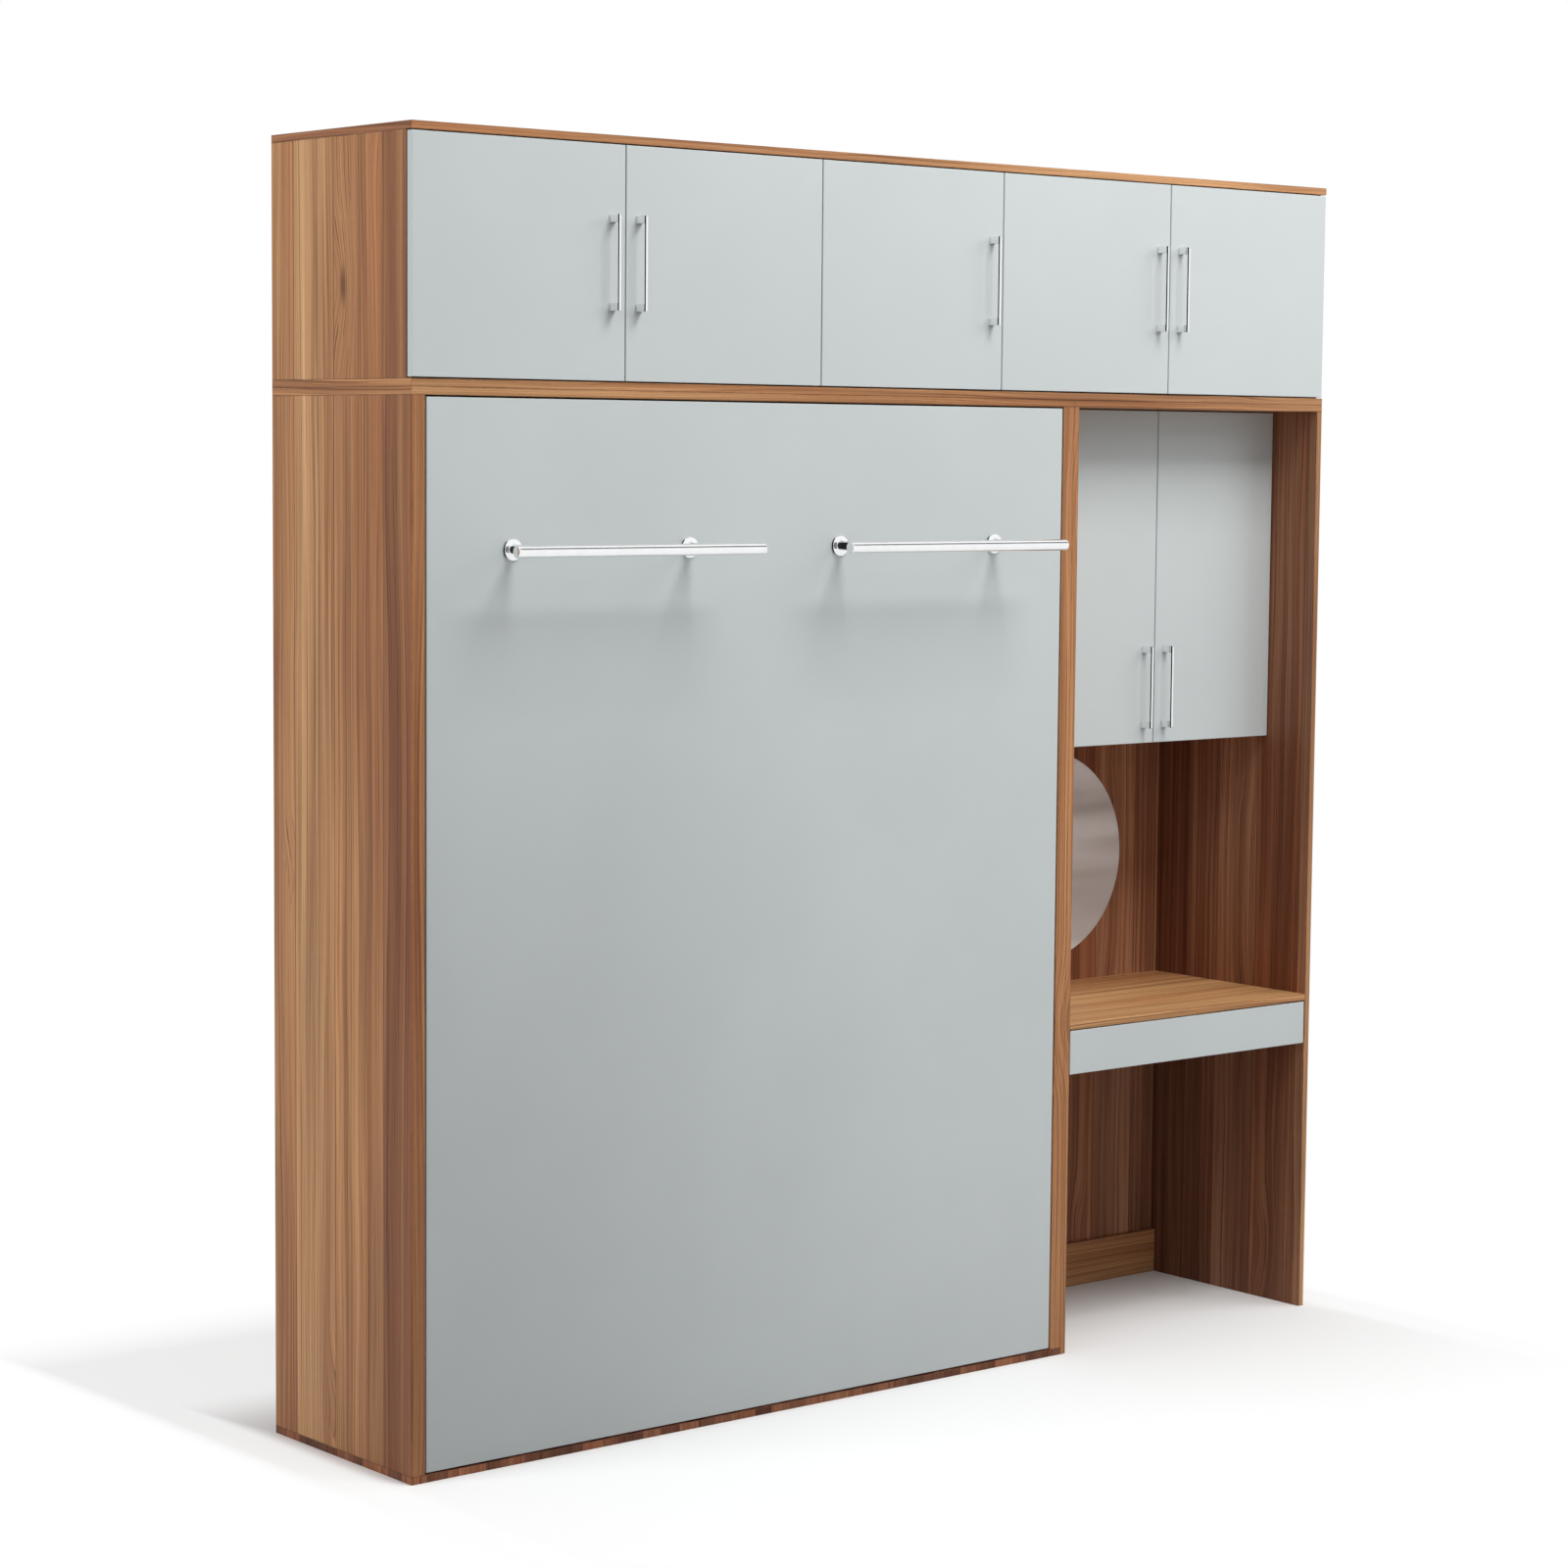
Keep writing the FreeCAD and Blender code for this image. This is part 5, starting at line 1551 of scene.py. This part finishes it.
@dataclass
class BedFrame(Assembly):
    """The steel frame behind the front panel, with its slats and their holders."""

    ease: float = 1.4 * MM
    cross_ease: float = 1.0 * MM
    holder_ease: float = 0.7 * MM
    slat_width: float = 68 * MM
    slat_thickness: float = 8 * MM
    slat_bow: float = 6 * MM
    slat_ease: float = 2.2 * MM
    slat_steps: int = 25
    slat_count: int = 14

    def build(self) -> None:
        """Builds the tubes, the plastic holders and both rows of slats."""
        self.eased("bed_side_rails", BLACK_STEEL, None, 3)
        self.eased("bed_cross_rails", BLACK_STEEL, self.cross_ease)
        self.eased("slat_holders", NYLON, self.holder_ease)
        self.slats()

    def recipe(self) -> Recipe:
        """Makes the tree that bows one slat and repeats it up a row, for each row's first place.

        Returns:
            The tree.
        """
        numbers = tuple((name, "Float") for name in ("Length", "Width", "Thickness", "Bow", "Pitch"))
        recipe = Recipe("slat rows", (*numbers, ("Count", "Int")))
        w, given = recipe.wiring, recipe.given
        size = w.combine(given["Length"], given["Thickness"], given["Width"])
        steps = {"Vertices X": self.slat_steps, "Vertices Y": 2, "Vertices Z": 2}
        blank = w.put("GeometryNodeMeshCube", {"Size": size, **steps})
        along = w.separate(w.put("GeometryNodeInputPosition", {}))[0]
        share = w.math("DIVIDE", along, w.times(given["Length"], 0.5))
        rise = w.math("SUBTRACT", 1.0, w.times(share, share))
        offset = w.combine(0.0, w.times(rise, given["Bow"]), 0.0)
        bowed = w.put("GeometryNodeSetPosition", {"Geometry": blank, "Offset": offset})
        line = w.put("GeometryNodeMeshLine", {"Count": given["Count"], "Offset": w.combine(0, 0, given["Pitch"])})
        row = w.put("GeometryNodeInstanceOnPoints", {"Points": line, "Instance": bowed})
        recipe.end(w.put("GeometryNodeInstanceOnPoints", {"Points": given["Geometry"], "Instance": row}))
        return recipe

    def slats(self) -> None:
        """Runs the tree for the two rows and rounds the slats' edges."""
        boxes = islands("bed_slats")
        low, high = boxes[0]
        top = max(box[1].z for box in boxes)
        starts = sorted({round(box[0].x, 4) for box in boxes})
        length = high.x - low.x
        y, z = low.y + self.slat_thickness / 2, low.z + self.slat_width / 2
        rows = line_mesh("slat_rows", [Vector((x + length / 2, y, z)) for x in (starts[0], starts[-1])])
        piece = self.recipe().run("bed_slats_piece", rows, BIRCH, {
            "Length": length,
            "Width": self.slat_width,
            "Thickness": self.slat_thickness,
            "Bow": self.slat_bow,
            "Pitch": (top - low.z - self.slat_width) / (self.slat_count - 1),
            "Count": self.slat_count,
        })
        shape = bmesh.new()
        shape.from_mesh(piece.data)
        cleaned(shape, piece.data, 30)
        self.rounded(piece, self.slat_ease, 3)
        self.settle(piece, BIRCH, "bed", ["bed_slats"])


@dataclass
class FoldMechanism(Assembly):
    """Pivot brackets, pins, stops and the two gas struts."""

    ease: float = 0.8 * MM
    pin_ease: float = 0.6 * MM
    tube: float = 18 * MM
    wall: float = 1.5 * MM
    guide: float = 10 * MM
    roll: float = 2.4 * MM
    groove: float = 0.7 * MM
    neck: float = 8 * MM
    rod: float = 8 * MM
    slide: float = 0.05 * MM
    piston: float = 6 * MM
    piston_ease: float = 0.5 * MM
    nut: float = 1.5 * MM
    eye: float = 16 * MM
    eye_width: float = 8 * MM
    eye_ease: float = 1.2 * MM
    bore_ease: float = 0.4 * MM
    stud: float = 8 * MM
    room: float = 14 * MM

    def build(self) -> None:
        """Builds the plates and turns the struts."""
        for node in ("pivot_brackets", "bed_pivot_plates", "closing_stops"):
            self.eased(node, BLACK_STEEL)
        self.eased("pivot_pins", ZINC, self.pin_ease)
        self.struts("strut_cylinders", BLACK_STEEL, 48, True)
        self.struts("strut_rods", CHROME, 40, False)

    def struts(self, node: str, finish: Finish, sides: int, hung: bool) -> None:
        """Turns one half of both struts, each with its eye.

        Args:
            node: The node and the body of that half.
            finish: Its finish.
            sides: How many sides stand for the circle.
            hung: True for the cylinders, which hang from their eyes; the rods stand on theirs.
        """
        shape = bmesh.new()
        for low, high in islands(node):
            x, y = (low.x + high.x) / 2, (low.y + high.y) / 2
            eye = high.z - self.eye / 2 if hung else low.z + self.eye / 2
            outline = self.cylinder(eye - self.room - low.z) if hung else self.plunger(high.z - eye)
            turned(shape, outline, Vector((x, y, low.z if hung else eye)), UP, sides)
            self.ring(shape, Vector((x, y, eye)))
        self.settle(piece_from(node + "_piece", shape, 40), finish, node, [node])

    def cylinder(self, top: float) -> Outline:
        """Gives the outline of a tube with its bore, guide, rolled ends, groove and neck.

        Args:
            top: The tube's length.

        Returns:
            Steps and radii from the bore down, and up again outside.
        """
        radius, neck = self.tube / 2, self.neck / 2
        bore, mouth = radius - self.wall, self.rod / 2 + self.slide
        return [
            (top - self.wall, 0.0), (top - self.wall, bore), (self.guide, bore), (self.guide, mouth), (0.0, mouth),
            (0.0, radius - self.roll), (0.5 * MM, radius - self.roll / 2), (2 * MM, radius - 0.2 * MM),
            (4 * MM, radius), (9 * MM, radius), (10 * MM, radius - self.groove), (11.4 * MM, radius - self.groove),
            (12.4 * MM, radius), (top - 3 * MM, radius), (top - 1 * MM, radius - 0.6 * MM), (top, radius - self.roll),
            (top, neck), (top + 5 * MM, neck), (top + 8 * MM, neck - 0.4 * MM), (top + 8 * MM, 0.0),
        ]

    def plunger(self, length: float) -> Outline:
        """Gives the outline of a rod with its lock nut and its piston.

        Args:
            length: The rod's length from the middle of its eye.

        Returns:
            Steps and radii along the rod.
        """
        radius, start = self.rod / 2, self.eye / 2
        piston, ease, foot = self.tube / 2 - self.wall - self.slide, self.piston_ease, length - self.piston
        return [
            (start - self.nut, 0.0), (start - self.nut, radius + self.nut), (start + 2 * MM, radius + self.nut),
            (start + 2.6 * MM, radius + 0.9 * MM), (start + 2.6 * MM, radius), (foot, radius), (foot, piston - ease),
            (foot + ease, piston), (length - ease, piston), (length, piston - ease), (length, 0.0),
        ]

    def ring(self, shape: Shape, centre: Vector) -> None:
        """Turns an eye around the stud whose axis lies across the bed.

        Args:
            shape: The shape that it is added to.
            centre: The middle of the eye.
        """
        half, outer, inner = self.eye_width / 2, self.eye / 2, self.stud / 2 + self.slide
        ease, bore = self.eye_ease, self.bore_ease
        rim = [(-half, outer - ease), (-half + ease * 0.3, outer - ease * 0.3), (-half + ease, outer)]
        outline = [(-half, inner + bore), *rim, *((-step, radius) for step, radius in reversed(rim))]
        outline += [(half, inner + bore), (half - bore, inner), (-half + bore, inner)]
        turned(shape, outline, centre, RIGHT, 40, True)


@dataclass
class Mattress(Assembly):
    """The stuffed mattress with its quilted faces, its piping and the two webbing straps."""

    voxel: float = 22 * MM
    shrink: Place = (0.0, 7 * MM, 0.0)
    frames: int = 20
    cap: float = 10 * MM
    give: float = 0.5 * MM
    rim: float = 60 * MM
    rim_start: float = 24 * MM
    quilt: float = 170 * MM
    quilt_depth: float = 9 * MM
    quilt_width: float = 17 * MM
    flat: float = 0.6
    clearance: float = 0.4 * MM
    crown: float = 7 * MM
    piping: float = 3.2 * MM
    piping_inset: float = 16 * MM
    piping_sunk: float = 0.35
    corner: float = 45 * MM
    strap_width: float = 50 * MM
    strap_thickness: float = 2.5 * MM
    strap_ease: float = 0.8 * MM
    strap_gap: float = 0.3 * MM
    strap_corner: float = 16 * MM
    steps: int = 40
    corner_steps: int = 6
    hem: float = 35 * MM
    seams: tuple[float, ...] = (6 * MM, 17 * MM, 28 * MM)
    seam_inset: float = 5 * MM
    pitch: float = 4 * MM
    stitch: float = 3 * MM
    thread: float = 1.1 * MM
    low: Vector = field(init=False)
    high: Vector = field(init=False)

    def __post_init__(self) -> None:
        """Measures the space that the mattress holds."""
        self.low, self.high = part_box("mattress")

    def build(self) -> None:
        """Stuffs, quilts and edges the mattress, then straps it down."""
        shell = self.shell()
        self.stuff(shell)
        self.quilted(shell)
        self.settle(shell, TICKING, "bed", ["mattress"])
        self.edging(shell)
        self.straps()

    def shell(self) -> bpy.types.Object:
        """Makes an even mesh a little smaller than the space that the mattress holds.

        Returns:
            The mattress's piece.
        """
        mesh = bpy.data.meshes.new("mattress_shell")
        shape = merged_shape("mattress")
        middle = (self.low + self.high) / 2
        size = self.high - self.low
        factor = Vector((s - 2 * less) / s for s, less in zip(size, self.shrink))
        for vertex in shape.verts:
            vertex.co = middle + (vertex.co - middle) * factor
        bmesh.ops.triangulate(shape, faces=shape.faces)
        shape.to_mesh(mesh)
        shape.free()
        piece = new_piece("mattress_piece", mesh)
        remesh = piece.modifiers.new("even", "REMESH")
        remesh.mode = "VOXEL"
        remesh.voxel_size = self.voxel
        self.apply(piece)
        return piece

    def apply(self, piece: bpy.types.Object) -> None:
        """Puts what the modifiers give into the piece's own mesh.

        Args:
            piece: The piece, which keeps no modifier.
        """
        mesh = evaluated(piece)
        piece.modifiers.clear()
        old = piece.data
        piece.data = mesh
        bpy.data.meshes.remove(old)

    def stuff(self, piece: bpy.types.Object) -> None:
        """Swells the shell as cloth under pressure, and caps how far a point moves out or in.

        Args:
            piece: The mattress's piece.
        """
        before = [(v.co.copy(), v.normal.copy()) for v in piece.data.vertices]
        cloth = piece.modifiers.new("stuffing", "CLOTH")
        settings = {
            "quality": 5, "mass": 0.3, "tension_stiffness": 12, "compression_stiffness": 12,
            "bending_stiffness": 0.6, "use_pressure": True, "uniform_pressure_force": 4,
        }
        for name, value in settings.items():
            setattr(cloth.settings, name, value)
        cloth.settings.effector_weights.gravity = 0
        cloth.collision_settings.use_collision = False
        for number in range(self.frames):
            bpy.context.scene.frame_set(number + 1)
        self.apply(piece)
        bpy.context.scene.frame_set(1)
        for vertex, (start, outward) in zip(piece.data.vertices, before):
            move = vertex.co - start
            move += outward * max(0.0, -move.dot(outward) - self.give)
            if move.length > self.cap:
                move = move.normalized() * self.cap
            vertex.co = start + move

    def ceiling(self, x: float) -> float:
        """Gives how far back the crowned face may reach at a place across the bed.

        Args:
            x: The place.

        Returns:
            The largest y there.
        """
        half = (self.high.x - self.low.x) / 2
        share = (x - self.low.x - half) / half
        return self.high.y - self.clearance - self.crown * share * share

    def quilted(self, piece: bpy.types.Object) -> None:
        """Smooths the mesh, sews diamonds into both faces and keeps it in its space.

        Args:
            piece: The mattress's piece.
        """
        smooth = piece.modifiers.new("smooth", "SUBSURF")
        smooth.levels = smooth.render_levels = 1
        self.apply(piece)
        piece.data.update()
        normals = [v.normal.copy() for v in piece.data.vertices]
        for vertex, normal in zip(piece.data.vertices, normals):
            x, z = vertex.co.x, vertex.co.z
            edge = min(x - self.low.x, self.high.x - x, z - self.low.z, self.high.z - z)
            if abs(normal.y) > self.flat and edge > self.rim_start:
                seam = min(self.astray((x + z) / self.quilt), self.astray((x - z) / self.quilt)) * self.quilt
                fade = min(1.0, (edge - self.rim_start) / self.rim)
                depth = self.quilt_depth * fade * math.exp(-((seam / self.quilt_width) ** 2))
                vertex.co.y -= math.copysign(depth, normal.y)
            self.keep_in(vertex)
        shaded(piece.data, 80)

    def astray(self, place: float) -> float:
        """Gives the distance to the nearest whole number."""
        return abs(place - round(place))

    def keep_in(self, vertex: bpy.types.MeshVertex) -> None:
        """Moves a point back into the space that the mattress holds.

        Args:
            vertex: The point.
        """
        c = self.clearance
        vertex.co.x = min(max(vertex.co.x, self.low.x + c), self.high.x - c)
        vertex.co.z = min(max(vertex.co.z, self.low.z + c), self.high.z - c)
        vertex.co.y = min(max(vertex.co.y, self.low.y + c), self.ceiling(vertex.co.x))

    def edging(self, piece: bpy.types.Object) -> None:
        """Lays piping around both edges of the mattress, on its surface.

        Args:
            piece: The mattress's piece.
        """
        surface = BVHTree.FromPolygons(
            [v.co.copy() for v in piece.data.vertices], [tuple(p.vertices) for p in piece.data.polygons]
        )
        recipe = self.piping_recipe()
        depths = {"front": self.low.y + self.piping_inset, "rear": self.high.y - self.crown - self.piping_inset}
        for name, y in depths.items():
            found = [surface.find_nearest(spot) for spot in self.rim_line(y)]
            points = [place - normal * self.piping * self.piping_sunk for place, normal, _, _ in found]
            loop = line_mesh("piping", points, [(k, (k + 1) % len(points)) for k in range(len(points))])
            tape = recipe.run("mattress_piping_" + name, loop, PIPING, {"Radius": self.piping, "Sides": 8})
            for vertex in tape.data.vertices:
                self.keep_in(vertex)
            shaded(tape.data, 60)
            self.settle(tape, PIPING, "bed")

    def rim_line(self, y: float) -> list[Vector]:
        """Gives points around the mattress's rim at one depth.

        Args:
            y: The depth.

        Returns:
            Points with about even steps between them.
        """
        radius = self.corner
        left, right = self.low.x + radius, self.high.x - radius
        bottom, top = self.low.z + radius, self.high.z - radius
        points = []
        for x, z, start in ((right, bottom, -90), (right, top, 0), (left, top, 90), (left, bottom, 180)):
            for k in range(self.corner_steps + 1):
                angle = math.radians(start + 90 / self.corner_steps * k)
                points.append(Vector((x + radius * math.cos(angle), y, z + radius * math.sin(angle))))
        step = (self.high.x - self.low.x) / self.steps
        even = []
        for first, second in zip(points, points[1:] + points[:1]):
            count = max(1, int((second - first).length / step))
            even.extend(first.lerp(second, k / count) for k in range(count))
        return even

    def piping_recipe(self) -> Recipe:
        """Makes the tree that lays a round cord along a line.

        Returns:
            The tree.
        """
        recipe = Recipe("piping along a line", (("Radius", "Float"), ("Sides", "Int")))
        w, given = recipe.wiring, recipe.given
        line = w.put("GeometryNodeMeshToCurve", {"Mesh": given["Geometry"]})
        circle = {"Resolution": given["Sides"], "Radius": given["Radius"]}
        profile = w.put("GeometryNodeCurvePrimitiveCircle", circle)
        recipe.end(w.put("GeometryNodeCurveToMesh", {"Curve": line, "Profile Curve": profile}))
        return recipe

    def straps(self) -> None:
        """Lays the two straps over the mattress and sews their hems."""
        boxes = islands("mattress_straps")
        shape = bmesh.new()
        for low, high in boxes:
            self.ribbon(shape, self.strap_path(low.y), (low.z + high.z) / 2)
        self.settle(piece_from("mattress_straps_piece", shape, 50), WEBBING, "bed", ["mattress_straps"])
        self.sew(boxes)

    def strap_path(self, hem_y: float) -> list[Vector]:
        """Gives a strap's middle line from one hem over the crown to the other.

        Args:
            hem_y: Where the hems end.

        Returns:
            Points in order, as x and y, with z left at 0.
        """
        half, corner = self.strap_thickness / 2, self.strap_corner
        left, right = self.low.x - self.strap_gap - half, self.high.x + self.strap_gap + half
        lift = self.strap_gap + half + self.clearance
        corner_y = self.ceiling(self.low.x) + lift
        side = [Vector((left, hem_y + half, 0)), Vector((left, hem_y + self.hem, 0))]
        for angle in (math.pi - turn for turn in quarter_turn(self.corner_steps)):
            x, y = left + corner + corner * math.cos(angle), corner_y - corner + corner * math.sin(angle)
            side.append(Vector((x, y, 0)))
        start, end = left + corner, right - corner
        crown = [start + (end - start) * k / self.steps for k in range(1, self.steps)]
        mirrored = [Vector((left + right - p.x, p.y, 0)) for p in reversed(side)]
        return side + [Vector((x, max(self.ceiling(x) + lift, corner_y), 0)) for x in crown] + mirrored

    def ribbon(self, shape: Shape, path: list[Vector], z: float) -> None:
        """Adds a flat band with rounded edges that follows a path.

        Args:
            shape: The shape that it is added to.
            path: The middle line, as x and y.
            z: The height of the band's middle.
        """
        half, wide, ease = self.strap_thickness / 2, self.strap_width / 2, self.strap_ease
        outline = [(-half, -wide + ease), (-half + ease * 0.5, -wide), (half - ease * 0.5, -wide)]
        outline += [(half, -wide + ease), (half * 0.86, 0.0)]
        outline += [(-depth, -side) for depth, side in outline]
        rings = []
        for before, point, after in zip(path[:1] + path, path, path[1:] + path[-1:]):
            along = (after - before).normalized()
            out = Vector((-along.y, along.x, 0))
            places = [point + out * depth + Vector((0, 0, z + side)) for depth, side in outline]
            rings.append([shape.verts.new(place) for place in places])
        bridged(shape, rings)
        shape.faces.new(rings[0])
        shape.faces.new(rings[-1][::-1])

    def sewing_recipe(self) -> Recipe:
        """Makes the tree that lays stitches along lines.

        Returns:
            The tree.
        """
        recipe = Recipe("stitches along a line", tuple((name, "Float") for name in ("Pitch", "Stitch", "Thickness")))
        w, given = recipe.wiring, recipe.given
        line = w.put("GeometryNodeMeshToCurve", {"Mesh": given["Geometry"]})
        even = w.put("GeometryNodeResampleCurve", {"Curve": line, "Length": given["Pitch"]}, mode="LENGTH")
        tangent = w.put("GeometryNodeInputTangent", {})
        recipe.end(w.put("GeometryNodeInstanceOnPoints", {
            "Points": even,
            "Instance": w.put("GeometryNodeMeshIcoSphere", {"Radius": 0.5, "Subdivisions": 1}),
            "Rotation": w.put("FunctionNodeAlignRotationToVector", {"Vector": tangent}, axis="Z"),
            "Scale": w.combine(given["Thickness"], given["Thickness"], given["Stitch"]),
        }))
        return recipe

    def sew(self, boxes: list[Box]) -> None:
        """Sews rows of stitches across each strap near its ends, on its outer side.

        Args:
            boxes: The lowest and highest corner of each strap's solid.
        """
        left = self.low.x - self.strap_gap - self.strap_thickness
        right = self.low.x + self.high.x - left
        reach = self.strap_width / 2 - self.seam_inset
        points = [
            Vector((x, low.y + seam, (low.z + high.z) / 2 + way * reach))
            for low, high in boxes for x in (left, right) for seam in self.seams for way in (-1, 1)
        ]
        rows = line_mesh("stitch_rows", points, [(k, k + 1) for k in range(0, len(points), 2)])
        values = {"Pitch": self.pitch, "Stitch": self.stitch, "Thickness": self.thread}
        piece = self.sewing_recipe().run("strap_stitches", rows, THREAD, values)
        shaded(piece.data, 60)
        self.settle(piece, THREAD, "bed")


@dataclass
class Studio:
    """A pale floor, soft light and a camera at the photograph's viewing angle."""

    camera_place: Place = (-5.3829, -6.2785, 2.0676)
    azimuth: float = 39.5127
    elevation: float = 5.1066
    roll: float = 0.4913
    lens: float = 85.6
    sky: float = 0.39
    lamp_size: float = 2.6
    lamps: tuple[tuple[str, Place, Place, float], ...] = (
        ("key_light", (0.5, -3.6, 6.6), (0.1, 0.0, 1.4), 254.0),
        ("corner_light", (3.4, -2.3, 4.2), (0.8, 0.0, 1.6), 56.0),
        ("side_light", (-6.4, 0.7, 3.4), (-1.3, 0.1, 1.5), 132.0),
    )
    cards: tuple[Place, ...] = ((5.0, 8.6, 0.01), (3.6, 5.0, 0.7))
    card_ends: tuple[float, float] = (0.6, 9.0)
    card_depth: float = -3.6
    floor_box: tuple[float, float] = (1.3, 0.33)
    floor_size: float = 60.0

    def build(self) -> None:
        """Sets up the world, the floor, the lamps, the cards and the camera."""
        self.world()
        self.floor()
        for name, place, target, power in self.lamps:
            self.lamp(name, place, target, power)
        for number, (low, high, shade) in enumerate(self.cards):
            self.card(f"card_{number + 1}", low, high, shade)
        self.camera()

    def emptied(self, holder: bpy.types.Material | bpy.types.World) -> Wiring:
        """Empties the tree of a material or a world.

        Args:
            holder: The material or the world.

        Returns:
            The wiring of its tree.
        """
        holder.use_nodes = True
        holder.node_tree.nodes.clear()
        return Wiring(holder.node_tree)

    def sheet(self, name: str, corners: Iterable[Place]) -> bpy.types.Object:
        """Makes a flat piece.

        Args:
            name: Its name.
            corners: Its corners in order.

        Returns:
            The piece.
        """
        shape = bmesh.new()
        shape.faces.new([shape.verts.new(corner) for corner in corners])
        return piece_from(name, shape)

    def stand(self, piece: bpy.types.Object, finish: bpy.types.Material) -> None:
        """Dresses a piece."""
        piece.data.materials.append(finish)

    def seen(self, w: Wiring) -> Socket:
        """Gives 1 where a ray comes from the camera, a reflection or a view through glass."""
        path = w.add("ShaderNodeLightPath").outputs
        return w.largest(w.largest(path["Is Camera Ray"], path["Is Glossy Ray"]), path["Is Transmission Ray"])

    def world(self) -> None:
        """Lights the object evenly and shows white behind it."""
        world = bpy.data.worlds.new("studio")
        bpy.context.scene.world = world
        w = self.emptied(world)
        light, white = (
            w.put("ShaderNodeBackground", {"Color": WHITE, "Strength": strength}) for strength in (self.sky, 1.0)
        )
        mixed = w.row("ShaderNodeMixShader", (self.seen(w), light, white))
        w.feed(w.add("ShaderNodeOutputWorld").inputs[0], mixed)

    def floor(self) -> None:
        """Lays a pale floor that keeps a faint shadow, with a painted shadow under the desk, and fades into the white
        behind.
        """
        half = self.floor_size / 2
        floor = self.sheet("floor", ((-half, -half, 0), (half, -half, 0), (half, half, 0), (-half, half, 0)))
        made = bpy.data.materials.new("pale floor")
        w = self.emptied(made)
        place = w.add("ShaderNodeTexCoord").outputs["Object"]
        x, y, _ = w.separate(place)
        side, back = self.floor_box
        around = w.largest(w.times_plus(w.math("ABSOLUTE", x), 6.0, -6.0 * side), w.math("SUBTRACT", y, back))
        # Painted shadow: inside the cabinet's footprint, which shows under the desk, the floor darkens towards the
        # back.
        painted_shadow_beneath = w.times(w.math("LESS_THAN", around, 0.0), w.spread(y, -0.18, 0.2, 0.0, 0.6))
        outside = w.largest(around, w.times_plus(y, -0.15, -0.03))
        clear = w.largest(w.spread(outside, 0.0, 0.35, 0.0, 0.7), w.spread(outside, 0.2, 1.1))
        grain = w.times(w.noise(place, 240.0, 3.0, 0.6), 0.05)
        pale = w.mix(grain, (0.97, 0.97, 0.97, 1), (0.85, 0.85, 0.84, 1))
        # The painted shadow's colour.
        pale = w.mix(painted_shadow_beneath, pale, (0.5, 0.47, 0.45, 1))
        matt = w.put("ShaderNodeBsdfDiffuse", {"Color": w.mix(self.seen(w), (0.5, 0.5, 0.5, 1), pale)})
        white = w.put("ShaderNodeEmission", {"Color": WHITE, "Strength": 1.0})
        mixed = w.row("ShaderNodeMixShader", (w.times(clear, self.seen(w)), matt, white))
        w.feed(w.add("ShaderNodeOutputMaterial").inputs[0], mixed)
        self.stand(floor, made)

    def lamp(self, name: str, place: Place, target: Place, power: float) -> None:
        """Adds a soft square lamp.

        Args:
            name: Its name.
            place: Where it stands.
            target: Where it points.
            power: Its power in watts.
        """
        data = bpy.data.lights.new(name, "AREA")
        data.shape = "SQUARE"
        data.size = self.lamp_size
        data.energy = power
        lamp = new_piece(name, data)
        away = Vector(target) - Vector(place)
        lamp.matrix_world = Matrix.Translation(place) @ away.to_track_quat("-Z", "Y").to_matrix().to_4x4()
        lamp.visible_glossy = False

    def card(self, name: str, low: float, high: float, shade: float) -> None:
        """Hangs a long card that only polished metal reflects, as a dark or grey line.

        Args:
            name: Its name.
            low: The height of its lower edge.
            high: The height of its upper edge.
            shade: Its brightness.
        """
        left, right = self.card_ends
        corners = ((left, low), (right, low), (right, high), (left, high))
        card = self.sheet(name, [(x, self.card_depth, z) for x, z in corners])
        made = bpy.data.materials.new(name)
        w = self.emptied(made)
        glow = w.put("ShaderNodeEmission", {"Color": WHITE, "Strength": shade})
        w.feed(w.add("ShaderNodeOutputMaterial").inputs[0], glow)
        card.visible_camera = card.visible_diffuse = card.visible_transmission = card.visible_shadow = False
        self.stand(card, made)

    def camera(self) -> None:
        """Places the camera where the photograph was taken from."""
        azimuth, elevation, roll = (math.radians(a) for a in (self.azimuth, self.elevation, self.roll))
        flat = math.cos(elevation)
        look = Vector((math.sin(azimuth) * flat, math.cos(azimuth) * flat, -math.sin(elevation)))
        right = Vector((math.cos(azimuth), -math.sin(azimuth), 0))
        up = right.cross(look)
        turned_right = right * math.cos(roll) + up * math.sin(roll)
        turned_up = up * math.cos(roll) - right * math.sin(roll)
        data = bpy.data.cameras.new("camera")
        data.sensor_width = 36.0
        data.lens = self.lens
        data.clip_end = 200.0
        camera = new_piece("camera", data)
        axes = Matrix((turned_right, turned_up, -look)).transposed()
        camera.matrix_world = Matrix.Translation(self.camera_place) @ axes.to_4x4()
        bpy.context.scene.camera = camera


def main() -> None:
    """Builds the object piece by piece, then the studio."""
    logging.basicConfig(level=logging.INFO, format="%(name)s: %(message)s")
    bpy.context.scene.view_settings.view_transform = "Standard"
    screwed = (Cabinet(), Fronts(), Hinges(), Drawer())
    for assembly in (*screwed, RoundMirror(), FootBars(), BedFrame(), FoldMechanism(), Mattress()):
        LOG.info("building %s", type(assembly).__name__)
        assembly.build()
    screws = ScrewSet()
    for assembly in screwed:
        assembly.fasten(screws)
    screws.build()
    Studio().build()


if __name__ == "__main__":
    main()
